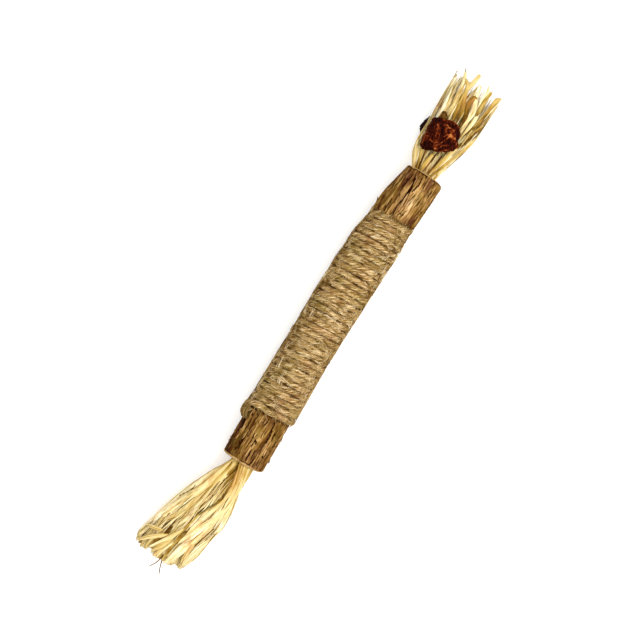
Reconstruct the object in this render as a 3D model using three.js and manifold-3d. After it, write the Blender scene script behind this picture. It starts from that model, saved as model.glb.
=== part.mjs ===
// A silvervine chew stick: a length of silvervine branch in its bark, wound round the middle with jute
// twine, with a raffia tassel glued into a drilled socket at each end, and a dried gall fruit on the
// upper and the lower face of one tassel. It lies on a surface. Millimetres, +Z up.
// The origin is where the winding rests, under the middle of the stick. +X runs along the stick to the
// tassel with the gall fruits, and +Y is the side that the middle of the stick bows to.
import * as THREE from "three";
import { mergeVertices } from "three/addons/utils/BufferGeometryUtils.js";
import Module from "manifold-3d";

const wasm = await Module();
wasm.setup();

// Driving dimensions
const STICK_LENGTH = 122;
const BARK_RADIUS = 8.25;
const WOUND_RADIUS = 9.3;
const TWINE_WIDTH = 2.3;
const TWINE_THICKNESS = 1.6;
const TWINE_PITCH = 2.4;
const SOCKET_RADIUS = 4.9;
const SOCKET_DEPTH = 12;
const RAFFIA_WIDTH = 2.8;
const RAFFIA_THICKNESS = 0.6;
const GALL_WIDTH = 12.6;
const GALL_THICKNESS = 8.6;
const CLEARANCE = 0.3;

// The stick's axis lies one wound radius above the surface.
const AXIS_HEIGHT = WOUND_RADIUS;
const HALF_LENGTH = STICK_LENGTH / 2;
const TAPER = 0.2; // how much thicker than the mean the stick is at +X, and thinner at -X
const BOW = 1.35; // how far the ends lie to -Y of the middle
const KINK = 0.55; // how much further the +X end does
const KINK_FROM = 20; // it bends off between here
const KINK_TO = 46; // and here

const { atan2, cos, exp, floor, hypot, max, min, PI, round, sin, sqrt } = Math;
const mix = (a, b, share) => a + (b - a) * share;
const smooth = (value, low, high) => THREE.MathUtils.smoothstep(value, low, high);

// How far the stick's centreline lies to +Y at a place along it.
function sideways(x) {
  return -BOW * (x / HALF_LENGTH) ** 2 - KINK * smooth(x, KINK_FROM, KINK_TO);
}

// A repeatable number from 0 to 1 for each seed.
function chance(seed) {
  const value = sin(seed * 127.1 + 311.7) * 43758.5453;
  return value - floor(value);
}

// Turns a closed mesh's faces outwards where its shaping has mirrored it.
function turnedOut(geometry) {
  const position = geometry.getAttribute("position");
  const faces = geometry.getIndex().array;
  const [a, b, c] = [new THREE.Vector3(), new THREE.Vector3(), new THREE.Vector3()];
  let volume = 0;
  for (let i = 0; i < faces.length; i += 3) {
    a.fromBufferAttribute(position, faces[i]);
    b.fromBufferAttribute(position, faces[i + 1]);
    c.fromBufferAttribute(position, faces[i + 2]);
    volume += a.dot(b.cross(c));
  }
  if (volume < 0) {
    for (let i = 0; i < faces.length; i += 3) [faces[i + 1], faces[i + 2]] = [faces[i + 2], faces[i + 1]];
  }
  return geometry;
}

// Moves every vertex of a closed geometry by a function, after its shared vertices are merged.
function shaped(geometry, place) {
  geometry.deleteAttribute("normal");
  geometry.deleteAttribute("uv");
  const merged = mergeVertices(geometry, 1e-3);
  const position = merged.getAttribute("position");
  const vertex = new THREE.Vector3();
  for (let i = 0; i < position.count; i++) {
    place(vertex.fromBufferAttribute(position, i));
    position.setXYZ(i, vertex.x, vertex.y, vertex.z);
  }
  return turnedOut(merged);
}

function solidOf(geometry) {
  return new wasm.Manifold(
    new wasm.Mesh({
      numProp: 3,
      vertProperties: new Float32Array(geometry.getAttribute("position").array),
      triVerts: new Uint32Array(geometry.getIndex().array),
    }),
  );
}

function geometryOf(solid) {
  const mesh = solid.getMesh();
  const geometry = new THREE.BufferGeometry();
  geometry.setAttribute("position", new THREE.BufferAttribute(mesh.vertProperties, 3));
  geometry.setIndex(new THREE.BufferAttribute(mesh.triVerts, 1));
  geometry.computeVertexNormals();
  return geometry;
}

// A round rod along X.
function rod(radius, length, centre) {
  const sides = 20;
  const geometry = new THREE.CylinderGeometry(radius, radius, length, sides);
  geometry.rotateZ(-PI / 2);
  geometry.translate(centre.x, centre.y, centre.z);
  return solidOf(shaped(geometry, () => {}));
}

// The jute winding: one length of twine, five-sided with a flat outer side, laid in a right-handed
// helix. Turns are counted from the middle, and every flat under the stick lies on the surface.
const STEPS_PER_TURN = 12;
const STEP = (2 * PI) / STEPS_PER_TURN;
const TWINE_SIDES = 5;
const REST_TURN = -(PI / 2 + STEP / 2) / (2 * PI); // the turn number that rests on the surface at x = 0
const FIRST_TURN = -17 - 2 / STEPS_PER_TURN;
const LAST_TURN = 16.5;
const LEAD_TURNS = 3 / STEPS_PER_TURN; // the twine slants to the winding over this much of a turn
const LAID_TURNS = 4 / STEPS_PER_TURN; // and lies down into it by here
const HITCH_LEAD = 3.4; // how far outside the winding the twine starts
const HITCH_RISE = 1.0; // and how far it stands over the other turns
const SUNK_FROM = 31; // the last turns lie deeper and deeper in the stick from here
const SUNK_TO = 38.6; // to here
const SUNK_BY = 0.9; // and by this much at last

const turnX = (turn) => TWINE_PITCH * (turn - REST_TURN);
const turnAngle = (turn) => 2 * PI * turn + STEP / 2;
const sunk = (x) => SUNK_BY * min(1, max(0, (x - SUNK_FROM) / (SUNK_TO - SUNK_FROM)));

// A length of twine from one turn number to another. away(turn) gives how far outside its place
// in the winding it lies, along the stick and outwards, and spare is added all round it.
function twine(from, to, away, spare = 0) {
  const turns = to - from;
  const rows = round(turns * STEPS_PER_TURN);
  const strand = new THREE.CylinderGeometry(1, 1, turns, TWINE_SIDES, rows, false, PI / TWINE_SIDES);
  const flat = cos(PI / TWINE_SIDES);
  const widest = sin((3 * PI) / TWINE_SIDES);
  return shaped(strand, (v) => {
    const turn = v.y + turns / 2 + from;
    const { lead, rise } = away(turn);
    const depth = (TWINE_THICKNESS * (flat - v.z)) / (1 + flat);
    const x = turnX(turn) - lead + ((TWINE_WIDTH / 2 + spare) * v.x) / widest;
    const radius = (WOUND_RADIUS - sunk(x) - depth + spare * v.z) / cos(STEP / 2) + rise;
    const angle = turnAngle(turn);
    v.set(x, sideways(x) + radius * cos(angle), AXIS_HEIGHT + radius * sin(angle));
  });
}

// The twine starts in a hitch on the +Y side: it slants into the winding, and its doubled end lies
// beside it on the bark.
function hitchPath(turn) {
  return {
    lead: HITCH_LEAD * (1 - min(1, (turn - FIRST_TURN) / LEAD_TURNS)),
    rise: HITCH_RISE * (1 - smooth(turn, FIRST_TURN + LEAD_TURNS, FIRST_TURN + LAID_TURNS)),
  };
}

const DOUBLED_TO = FIRST_TURN + 3 / STEPS_PER_TURN;

function doubledPath(turn) {
  const share = (turn - FIRST_TURN) / (DOUBLED_TO - FIRST_TURN);
  const apart = TWINE_WIDTH * mix(0.6, 1.05, min(1, 2 * share));
  return { lead: hitchPath(turn).lead + apart, rise: HITCH_RISE * mix(0.95, 0.7, share) };
}

function windingGeometry() {
  const winding = solidOf(twine(FIRST_TURN, LAST_TURN, hitchPath));
  return geometryOf(winding.add(solidOf(twine(FIRST_TURN, DOUBLED_TO, doubledPath))));
}

// The bark is pressed in under the hitch.
function hitchRoom() {
  const laid = FIRST_TURN + LAID_TURNS;
  const slanting = solidOf(twine(FIRST_TURN, laid, hitchPath, CLEARANCE));
  return slanting.add(solidOf(twine(FIRST_TURN, DOUBLED_TO, doubledPath, CLEARANCE)));
}

// The stick: a branch in its bark, with a shallow waist under the twine and a socket in each sawn end.
const PLATES = 11; // plates of bark round the stick, with a fissure between each two
const PLATE_SHARES = [0, 0.15, 0.5, 0.85]; // where a plate's facets meet, from its fissure on
const BARK_SIDES = PLATES * PLATE_SHARES.length;
const BARE_ROWS = 6; // rows of facets along each bare end
const WAIST_BENDS = [-12, 16, SUNK_FROM, SUNK_TO]; // where rows lie in the waist: it bends with the stick
const WAIST_ROWS = WAIST_BENDS.length + 1;
const WAIST_RADIUS = WOUND_RADIUS - TWINE_THICKNESS - CLEARANCE;
const WAIST_SLOPE = 0.6;
const EDGE = 0.6; // the worn edge of a sawn end, which is wider on the -Y side
const SHOULDER_FROM = 45; // bark is worn off one shoulder beyond here
const SHOULDER_DEPTH = 2.6;

// The share of a turn, from 0 to 1, that an angle lies past another.
function past(angle, from) {
  const share = (angle - from) / (2 * PI);
  return share - floor(share);
}

// Where the waist starts and ends at an angle: it follows the twine's first and last turn.
function waistEdge(angle, side) {
  const reach = TWINE_WIDTH / 2 + CLEARANCE;
  const near = [-0.2, 0, 0.2].map((aside) => {
    if (side < 0) {
      const first = FIRST_TURN + LEAD_TURNS;
      return turnX(first + past(angle + aside, turnAngle(first))) - reach;
    }
    return turnX(LAST_TURN - past(turnAngle(LAST_TURN), angle + aside)) + reach;
  });
  return side < 0 ? min(...near) : max(...near);
}

// Each column of facets has its place round the stick and its height, which change along it.
function barkAt(column, x) {
  const plate = floor(column / PLATE_SHARES.length);
  const part = column % PLATE_SHARES.length;
  const wander = 0.35 * sin(x / 7 + plate * 2.4) + 0.2 * sin(x / 3.1 + plate);
  const even = ((plate + PLATE_SHARES[part]) * 2 * PI) / PLATES;
  const angle = even + 0.14 * sin(3 * even) + (wander * PI) / (3 * PLATES);
  const crown = part === 2 ? 0.2 : 0;
  const fissure = part === 0 ? 0.75 * max(0, 0.35 + sin(x / 4.5 + plate * 1.9)) : 0;
  const flake = 0.22 * sin(x / 2.3 + plate * 3.1 + part);
  return { angle, height: crown - fissure + flake };
}

function barkRadius(angle, height, x) {
  const worn = max(0, (x - SHOULDER_FROM) / (HALF_LENGTH - SHOULDER_FROM)) ** 1.6;
  const shoulder = SHOULDER_DEPTH * worn * max(0, cos(angle + 0.1)) ** 3;
  return BARK_RADIUS + TAPER * (x / HALF_LENGTH) + height * (1 - worn) - shoulder;
}

// The place along the stick of a row of facets, and whether it lies in the waist or on a worn edge.
function stickRow(row, angle) {
  const [start, end] = [waistEdge(angle, -1), waistEdge(angle, 1)];
  const sawn = HALF_LENGTH - EDGE * (1 + max(0, -cos(angle)));
  const waistFrom = BARE_ROWS + 1;
  const waistTo = waistFrom + WAIST_ROWS;
  const last = waistTo + BARE_ROWS + 1;
  if (row === 0) return { x: -HALF_LENGTH, sawn: true };
  if (row === last) return { x: HALF_LENGTH, sawn: true };
  if (row < waistFrom) return { x: mix(-sawn, start - WAIST_SLOPE, (row - 1) / (BARE_ROWS - 1)) };
  if (row <= waistTo) return { x: [start, ...WAIST_BENDS, end][row - waistFrom], waist: true };
  return { x: mix(end + WAIST_SLOPE, sawn, (row - waistTo - 1) / (BARE_ROWS - 1)) };
}

// Where the socket's centre lies, at the end on one side: -1 or 1.
const socketY = (side) => sideways(side * HALF_LENGTH) - 0.2;

// Slivers of bark that have lifted off the stick, each { x, angle, length }.
const SLIVERS = [
  { x: 40.8, angle: 0.12, length: 4.6 },
  { x: 44.5, angle: 2.6, length: 4.6 },
  { x: -47, angle: 2.5, length: 5.4 },
  { x: -52, angle: 0.7, length: 5.0 },
];

// A sliver is a wedge that is rooted in the bark at its wide end and stands off it at its tip.
function sliver({ x, angle, length }) {
  return shaped(new THREE.BoxGeometry(1, 1, 1, 2, 1, 1), (v) => {
    const share = v.x + 0.5;
    const around = angle + v.y * 0.22 * (1 - 0.7 * share);
    const foot = mix(-1.4, 0.75, share ** 1.5);
    const radius = BARK_RADIUS + foot + (v.z + 0.5) * mix(1.5, 0.3, share);
    const along = x + share * length * (x > 0 ? 1 : -1);
    v.set(along, sideways(along) + radius * cos(around), AXIS_HEIGHT + radius * sin(around));
  });
}

function stickGeometry() {
  const rows = 2 * (BARE_ROWS + 1) + WAIST_ROWS;
  const branch = shaped(new THREE.CylinderGeometry(1, 1, rows, BARK_SIDES, rows), (v) => {
    const column = round(past(atan2(v.z, v.x), 0) * BARK_SIDES) % BARK_SIDES;
    const row = round(v.y + rows / 2);
    const { x, sawn, waist } = stickRow(row, barkAt(column, 0).angle);
    const { angle, height } = barkAt(column, x);
    const bark = barkRadius(angle, height, x) - (sawn ? EDGE * (0.6 + max(0, -cos(angle))) : 0);
    const radius = hypot(v.x, v.z) * (waist ? WAIST_RADIUS - sunk(x) : bark);
    v.set(x, sideways(x) + radius * cos(angle), AXIS_HEIGHT + radius * sin(angle));
  });
  let stick = solidOf(branch);
  for (const place of SLIVERS) stick = stick.add(solidOf(sliver(place)));
  for (const side of [-1, 1]) {
    const centre = new THREE.Vector3(side * HALF_LENGTH, socketY(side), AXIS_HEIGHT);
    stick = stick.subtract(rod(SOCKET_RADIUS, 2 * SOCKET_DEPTH, centre));
  }
  return geometryOf(stick.subtract(hitchRoom()));
}

// The gall fruits: squat, lumpy, three-cornered seen from above, with a stub of stem at one corner.
const GALLS = [
  { name: "gall_fruit_upper", x: 75.3, y: -0.5, z: 17.0, heading: 0.4, seed: 1, side: 1 },
  { name: "gall_fruit_lower", x: 76.6, y: 1.7, z: 4.6, heading: 0.1, seed: 7, side: -1 },
];
const GALL_DETAIL = 3;
const GALL_LUMPS = 0.9; // how far a fruit's lumps stand out round its girth
const GALL_BULGE = 0.3; // and over its top and bottom
const STUB_LENGTH = 4.2;
const STUB_RADIUS = 1.6;

function gallGeometry(gall) {
  const body = shaped(new THREE.IcosahedronGeometry(1, GALL_DETAIL), (v) => {
    const around = atan2(v.y, v.x);
    const level = sqrt(max(0, 1 - v.z ** 2)); // 1 at the fruit's girth, 0 at its top and bottom
    const corners = 0.13 * cos(3 * around - 0.8) * level;
    const folds = 0.055 * sin(8 * around + 3 * v.z + gall.seed) * level;
    const dents = 0.06 * sin(7 * v.x + gall.seed) * cos(6 * v.y + 2 * gall.seed);
    const lumps = dents + 0.05 * sin(9 * v.z + 5 * v.x);
    const girth = (GALL_WIDTH / 2) * (0.97 + corners + folds + lumps);
    const depth = (GALL_THICKNESS / 2) * (0.97 + lumps + folds / 2);
    v.set(v.x * girth, v.y * girth, v.z * depth);
  });
  const stub = new THREE.CylinderGeometry(STUB_RADIUS * 0.75, STUB_RADIUS, STUB_LENGTH, 7);
  stub.rotateZ(-PI / 2);
  stub.translate(GALL_WIDTH / 2 + STUB_LENGTH * 0.2, 0, 0);
  return geometryOf(solidOf(body).add(solidOf(shaped(stub, () => {}))));
}

// The space that the raffia leaves for a gall fruit, as a plain egg round all its lumps.
function gallRoom(gall) {
  const egg = new THREE.SphereGeometry(1, 12, 8);
  const girth = GALL_WIDTH / 2 + GALL_LUMPS + CLEARANCE;
  egg.scale(girth, girth, GALL_THICKNESS / 2 + GALL_BULGE + CLEARANCE);
  const stubMiddle = new THREE.Vector3(GALL_WIDTH / 2 + STUB_LENGTH * 0.4, 0, 0);
  const stub = rod(STUB_RADIUS + CLEARANCE, STUB_LENGTH, stubMiddle);
  const room = solidOf(shaped(egg, () => {})).add(stub);
  return room.rotate([0, 0, THREE.MathUtils.radToDeg(gall.heading)]).translate([gall.x, gall.y, gall.z]);
}

// A tassel's bundle: a round neck in the socket, spreading and flattening towards the tips.
// sweep is how far the tips' middle lies to +Y of the neck, drop how far it lies below it, and hump
// how far the middle of the bundle rises on the way. burst says how soon it spreads.
const NECK_RADIUS = SOCKET_RADIUS - CLEARANCE;
const TASSELS = [
  {
    name: "raffia_tassel_plain",
    side: -1,
    length: 45.5,
    halfWidth: 11.3,
    halfHeight: 5.6,
    burst: 2,
    sweep: 8.1,
    hump: 0,
    drop: 3.2,
    solidTo: 0.86,
    strands: 25,
    seed: 11,
  },
  {
    name: "raffia_tassel_with_galls",
    side: 1,
    length: 38.5,
    halfWidth: 10.2,
    halfHeight: 5.0,
    burst: 4,
    sweep: -0.1,
    hump: 1.6,
    drop: 2.6,
    solidTo: 0.62,
    strands: 24,
    seed: 53,
  },
];
const STRAND_STEPS = 5;
const ROOT_SHARE = -0.05; // a strand starts this far inside the mouth, as a share of the tassel's length
const GOLDEN_ANGLE = PI * (3 - sqrt(5));
const HEART_SIDES = 22;
const HEART_ROWS = 6;

// The bundle's middle and half sizes at a share of its length.
function bundleAt(tassel, share) {
  const out = min(max(0, share), 1);
  const spread = 1 - (1 - out) ** tassel.burst;
  return {
    y: socketY(tassel.side) + tassel.sweep * max(0, share),
    z: AXIS_HEIGHT + tassel.hump * sin(PI * min(out * 1.3, 1)) - tassel.drop * out ** 1.4,
    halfWidth: mix(NECK_RADIUS, tassel.halfWidth, spread),
    halfHeight: mix(NECK_RADIUS, tassel.halfHeight, spread),
  };
}

// Raffia lies along the surface instead of passing through it.
const SETTLE = 1.6;
const settled = (z) => (z > SETTLE ? z : SETTLE * exp((z - SETTLE) / SETTLE) - 0.1);

// Raffia passes under the upper gall fruit and over the lower one.
function betweenGalls(point) {
  const [girth, depth] = [GALL_WIDTH / 2 + 1.6, GALL_THICKNESS / 2 + 1.0];
  for (const gall of GALLS) {
    const away = hypot(point.x - gall.x, point.y - gall.y) / girth;
    if (away < 1) {
      const face = gall.z - gall.side * depth * sqrt(1 - away ** 2);
      point.z = gall.side > 0 ? min(point.z, face) : max(point.z, face);
    }
  }
}

function bundlePoint(tassel, share, across, up) {
  const bundle = bundleAt(tassel, share);
  const point = new THREE.Vector3(
    tassel.side * (HALF_LENGTH + share * tassel.length),
    bundle.y + bundle.halfWidth * across,
    bundle.z + bundle.halfHeight * up,
  );
  if (tassel.side > 0) betweenGalls(point);
  return point;
}

// One strand's place in its bundle, its length, width and curl.
function strandOf(tassel, number) {
  const luck = (salt) => chance(tassel.seed + number * 7.31 + salt);
  const inner = number % 4 === 3;
  const wisp = number % 9 === 4;
  return {
    radius: inner ? mix(0.2, 0.7, luck(0)) : mix(0.88, 0.99, luck(0)),
    angle: number * GOLDEN_ANGLE + tassel.seed,
    drift: 0.7 * (luck(1) - 0.5),
    reach: wisp ? 1.06 : mix(0.86, 1, luck(2)),
    width: RAFFIA_WIDTH * (wisp ? 0.4 : mix(0.75, 1.2, luck(3))),
    roll: 0.9 * (luck(4) - 0.5),
    wave: 1.0 * (luck(5) - 0.5),
    tip: mix(0.2, 0.8, luck(6)),
  };
}

function strandPoint(tassel, strand, share) {
  const angle = strand.angle + strand.drift * share;
  const wave = (strand.wave * sin(5 * share + strand.angle) * share) / tassel.halfWidth;
  return bundlePoint(tassel, share, strand.radius * cos(angle) + wave, strand.radius * sin(angle) + wave);
}

function strandGeometry(tassel, strand) {
  const strip = new THREE.BoxGeometry(1, 1, 1, STRAND_STEPS, 1, 1);
  return shaped(strip, (v) => {
    const share = mix(ROOT_SHARE, strand.reach, v.x + 0.5);
    const point = strandPoint(tassel, strand, share);
    const ahead = strandPoint(tassel, strand, share + 0.02).sub(point).normalize();
    const angle = strand.angle + strand.drift * share + strand.roll * share;
    const outward = new THREE.Vector3(0, cos(angle) * tassel.halfHeight, sin(angle) * tassel.halfWidth);
    const across = new THREE.Vector3().crossVectors(ahead, outward).normalize();
    outward.crossVectors(across, ahead).normalize();
    const grown = mix(0.55, 1, smooth(share, 0, 0.3));
    const tapered = mix(1, strand.tip, smooth(v.x, 0, 0.5));
    point.addScaledVector(across, v.y * strand.width * grown * tapered);
    point.addScaledVector(outward, v.z * RAFFIA_THICKNESS);
    v.set(point.x, point.y, settled(point.z));
  });
}

// The glued neck, and the packed strands that fill the bundle as far as their ragged ends.
function heartGeometry(tassel) {
  const heart = new THREE.CylinderGeometry(1, 1, HEART_ROWS, HEART_SIDES, HEART_ROWS);
  return shaped(heart, (v) => {
    const row = round(v.y + HEART_ROWS / 2);
    const around = atan2(v.z, v.x);
    const column = round(past(around, 0) * HEART_SIDES) % HEART_SIDES;
    const rim = hypot(v.x, v.z);
    const luck = chance(tassel.seed + column * 3.3);
    const ragged = row === HEART_ROWS ? 0.12 * (luck - 0.5) * rim - 0.1 * (1 - rim) : 0;
    const out = (max(0, row - 1) / (HEART_ROWS - 1)) ** 1.2 * tassel.solidTo + ragged;
    const share = row === 0 ? (CLEARANCE - SOCKET_DEPTH) / tassel.length : out;
    const flute = rim * mix(1, mix(0.78, 0.95, luck), smooth(share, 0, 0.1));
    const angle = around + 0.3 * share;
    v.copy(bundlePoint(tassel, share, flute * cos(angle), flute * sin(angle)));
    v.z = row > 1 ? settled(v.z) : v.z;
  });
}

// The sawn end round a tassel's neck, with the gap that the glue fills.
function mouthRoom(tassel) {
  const middle = tassel.side * (HALF_LENGTH - SOCKET_DEPTH / 2 + CLEARANCE);
  const centre = new THREE.Vector3(middle, socketY(tassel.side), AXIS_HEIGHT);
  const end = rod(2 * BARK_RADIUS, SOCKET_DEPTH, centre);
  return end.subtract(rod(NECK_RADIUS, 2 * SOCKET_DEPTH, centre));
}

const SMALLEST = 0.1; // facets finer than this are merged

// Leaves out the scraps of strand that the cuts have parted from the bundle.
function largestBody(solid) {
  return solid.decompose().reduce((largest, body) => (body.volume() > largest.volume() ? body : largest));
}

function tasselGeometry(tassel) {
  let bundle = solidOf(heartGeometry(tassel));
  for (let number = 0; number < tassel.strands; number++) {
    bundle = bundle.add(solidOf(strandGeometry(tassel, strandOf(tassel, number))));
  }
  bundle = bundle.subtract(mouthRoom(tassel));
  if (tassel.side > 0) {
    for (const gall of GALLS) bundle = bundle.subtract(gallRoom(gall));
  }
  return geometryOf(largestBody(bundle.trimByPlane([0, 0, 1], 0).asOriginal().simplify(SMALLEST)));
}

const bark = new THREE.MeshStandardMaterial({ color: "#8d6a3c", roughness: 0.95, metalness: 0 });
const jute = new THREE.MeshStandardMaterial({ color: "#b08f58", roughness: 0.95, metalness: 0 });
const raffia = new THREE.MeshStandardMaterial({ color: "#e2c98c", roughness: 0.7, metalness: 0 });
const gallSkin = new THREE.MeshStandardMaterial({ color: "#57251a", roughness: 0.6, metalness: 0 });

const chewStick = new THREE.Group();

function addMesh(name, geometry, material) {
  const mesh = new THREE.Mesh(geometry, material);
  mesh.name = name;
  chewStick.add(mesh);
  return mesh;
}

addMesh("silvervine_stick", stickGeometry(), bark);
addMesh("jute_winding", windingGeometry(), jute);
for (const tassel of TASSELS) addMesh(tassel.name, tasselGeometry(tassel), raffia);
for (const gall of GALLS) {
  const fruit = addMesh(gall.name, gallGeometry(gall), gallSkin);
  fruit.position.set(gall.x, gall.y, gall.z);
  fruit.rotation.z = gall.heading;
}

export default chewStick;
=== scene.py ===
import math

import bmesh
import bpy
import numpy as np
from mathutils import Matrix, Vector, noise


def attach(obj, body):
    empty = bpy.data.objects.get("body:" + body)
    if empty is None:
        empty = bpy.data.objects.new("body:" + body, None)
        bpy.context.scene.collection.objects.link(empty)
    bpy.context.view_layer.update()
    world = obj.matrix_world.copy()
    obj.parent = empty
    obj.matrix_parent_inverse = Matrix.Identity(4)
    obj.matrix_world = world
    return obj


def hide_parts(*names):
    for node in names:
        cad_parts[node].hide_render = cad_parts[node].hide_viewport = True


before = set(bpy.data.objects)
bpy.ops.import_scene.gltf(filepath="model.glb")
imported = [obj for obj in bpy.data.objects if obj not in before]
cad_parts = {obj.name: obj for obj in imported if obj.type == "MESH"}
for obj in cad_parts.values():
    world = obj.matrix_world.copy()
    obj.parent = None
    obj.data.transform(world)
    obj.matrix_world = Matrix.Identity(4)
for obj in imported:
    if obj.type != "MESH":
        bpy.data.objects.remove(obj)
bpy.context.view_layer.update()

MM = 0.001

# The view
# The stick lies on a pale table. The camera looks straight down on it from 0.69 m, turned so that the
# stick runs from the lower left to the upper right.
STICK_TURN = math.radians(58.2)
CAMERA_X, CAMERA_Y, CAMERA_HEIGHT = -2.9, 1.9, 689.3
bpy.ops.object.camera_add(
    location=(CAMERA_X * MM, CAMERA_Y * MM, CAMERA_HEIGHT * MM), rotation=(0, 0, -STICK_TURN))
camera = bpy.context.object
camera.data.sensor_width = 36
camera.data.lens = 107.1
bpy.context.scene.camera = camera
bpy.context.scene.view_settings.view_transform = "Standard"

bpy.ops.mesh.primitive_plane_add(size=6, location=(0, 0, -0.1 * MM))
table = bpy.context.object
table.name = "table"


def colour(code):
    """The linear colour of a six-figure colour code, as it looks on a screen."""
    shares = [int(code[i:i + 2], 16) / 255 for i in (1, 3, 5)]
    return [s / 12.92 if s <= 0.04045 else ((s + 0.055) / 1.055) ** 2.4 for s in shares] + [1]


def new_material(name, roughness, specular):
    """A new material, its nodes, and its shader with an even gloss."""
    material = bpy.data.materials.new(name)
    material.use_nodes = True
    shader = material.node_tree.nodes["Principled BSDF"]
    shader.inputs["Roughness"].default_value = roughness
    shader.inputs["Specular IOR Level"].default_value = specular
    return material, material.node_tree, shader


paper, _, paper_shader = new_material("pale paper", 0.9, 0.1)
paper_shader.inputs["Base Color"].default_value = colour("#fbfbfa")
paper_shader.inputs["Emission Color"].default_value = colour("#ffffff")
paper_shader.inputs["Emission Strength"].default_value = 0.12  # the paper lies on a light table
table.data.materials.append(paper)

world = bpy.data.worlds.new("soft daylight")
bpy.context.scene.world = world
world.use_nodes = True
sky = world.node_tree.nodes["Background"]
sky.inputs["Color"].default_value = (1, 1, 1, 1)
direction = world.node_tree.nodes.new("ShaderNodeTexCoord")
height = world.node_tree.nodes.new("ShaderNodeSeparateXYZ")
brightness = world.node_tree.nodes.new("ShaderNodeMapRange")
brightness.inputs["From Min"].default_value = 0.0
brightness.inputs["To Min"].default_value = 0.22
brightness.inputs["To Max"].default_value = 1.95
world.node_tree.links.new(direction.outputs["Generated"], height.inputs["Vector"])
world.node_tree.links.new(height.outputs["Z"], brightness.inputs["Value"])
world.node_tree.links.new(brightness.outputs["Result"], sky.inputs["Strength"])


def soft_lamp(name, place, target, size, power):
    """A square lamp that looks at a target, in metres."""
    bpy.ops.object.light_add(type="AREA", location=place)
    lamp = bpy.context.object
    lamp.name = name
    lamp.data.size = size
    lamp.data.energy = power
    lamp.rotation_euler = (Vector(target) - Vector(place)).to_track_quat("-Z", "Y").to_euler()


soft_lamp("window", (0.10, -0.40, 0.75), (0, 0, 0), 0.34, 5.0)

# The stick
# A length of silvervine branch, 122 mm long and 16.5 mm thick, dried in its bark. Both ends are sawn
# off square and drilled for a tassel, and the bark is worn off one shoulder. Under the twine it is
# pressed in a little.
HALF_LENGTH = 60.7
BARK_RADIUS = 8.25
AXIS_HEIGHT = 9.3
WAIST_RADIUS = 7.35
BEND = 1.35  # how far both ends lie to -Y of the middle
KINK, KINK_FROM, KINK_TO = 0.55, 20, 46  # and how much further the +X end does
LAST_TURNS_DEEPER, LAST_TURNS_FROM, LAST_TURNS_LENGTH = 0.9, 31, 7.6
DIP_DEPTH, DIP_PLACE, DIP_LENGTH = 0.3, -14, 17
WORN_DEPTH, WORN_FROM = 2.6, 45  # the worn shoulder at the +X end
SOCKET_RADIUS = 4.9
SOCKET_DEPTH = 12.0
SOCKET_FLOOR_RING = 2.0
SAWN_EDGE = 0.8
THICKER = 0.2  # by how much the radius grows from the middle to the +X end
# PRESSED_LENGTH also sets how far the painted shade beside the twine reaches.
PRESSED_LENGTH = 0.9  # how far from the end turns the bark is pressed in
SAW_MARK_WIDTH = 0.17
FLATTER_FROM, FLATTER_TO = 54, 59  # the bark's relief gets lower from one to the other
STICK_SIDES = 360
BARE_FROM, BARE_TO = -39.5, 38.0  # the stick is bare outside these, but for the twine's first turns
BARE_ROWS = 88
WAIST_ROWS = 30
CAP_RINGS = 5


def smooth(value, low, high):
    """0 up to the low value, 1 from the high value on, and an even rise between them."""
    share = min(1.0, max(0.0, (value - low) / (high - low)))
    return share * share * (3 - 2 * share)


def mix(a, b, share):
    """The value a share of the way from one to the other."""
    return a + (b - a) * share


def sideways(x):
    """How far the stick's middle lies to +Y at a place along it: it is a little bent."""
    return -BEND * (x / HALF_LENGTH) ** 2 - KINK * smooth(x, KINK_FROM, KINK_TO)


def deeper(x):
    """How much deeper in the stick the twine's last turns lie, and a little those at -X of the middle."""
    last_turns = min(1.0, max(0.0, (x - LAST_TURNS_FROM) / LAST_TURNS_LENGTH))
    return LAST_TURNS_DEEPER * last_turns + DIP_DEPTH * math.exp(-((x - DIP_PLACE) / DIP_LENGTH) ** 2)


def worn_at(x):
    """How far the end of the stick is worn at a place along it."""
    return max(0.0, (x - WORN_FROM) / (HALF_LENGTH - WORN_FROM)) ** 1.6


def worn_off(x, angle):
    """How much is worn off the shoulder at +Y."""
    return WORN_DEPTH * worn_at(x) * max(0.0, math.cos(angle + 0.1)) ** 3


def select(piece, kind, chosen):
    """Goes into edit mode with only the faces or edges selected that the test chooses."""
    bpy.ops.object.mode_set(mode="EDIT")
    bpy.ops.mesh.select_mode(type=kind)
    bpy.ops.mesh.select_all(action="DESELECT")
    mesh = bmesh.from_edit_mesh(piece.data)
    for part in (mesh.faces if kind == "FACE" else mesh.edges):
        if chosen(part):
            part.select_set(True)
    mesh.select_flush_mode()
    bmesh.update_edit_mesh(piece.data)


def between(edge, low, high):
    """Whether an edge runs along the stick, between two places."""
    start, end = sorted(v.co.x / MM for v in edge.verts)
    return end - start > 1 and start > low - 0.1 and end < high + 0.1


bpy.ops.object.select_all(action="DESELECT")
bpy.ops.mesh.primitive_cylinder_add(
    vertices=STICK_SIDES, radius=BARK_RADIUS * MM, depth=2 * HALF_LENGTH * MM,
    location=(0, 0, AXIS_HEIGHT * MM), rotation=(0, math.pi / 2, 0))
bpy.ops.object.transform_apply(location=True, rotation=True, scale=True)
stick = bpy.context.object
stick.name = "bark_stick"
bpy.ops.object.mode_set(mode="EDIT")
for place in (BARE_FROM, BARE_TO):
    bpy.ops.mesh.select_all(action="SELECT")
    bpy.ops.mesh.bisect(plane_co=(place * MM, 0, 0), plane_no=(1, 0, 0))
for low, high, rows in (
        (-HALF_LENGTH, BARE_FROM, BARE_ROWS),
        (BARE_FROM, BARE_TO, WAIST_ROWS),
        (BARE_TO, HALF_LENGTH, BARE_ROWS)):
    select(stick, "EDGE", lambda edge: between(edge, low, high))
    bpy.ops.mesh.subdivide(number_cuts=rows)
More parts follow.
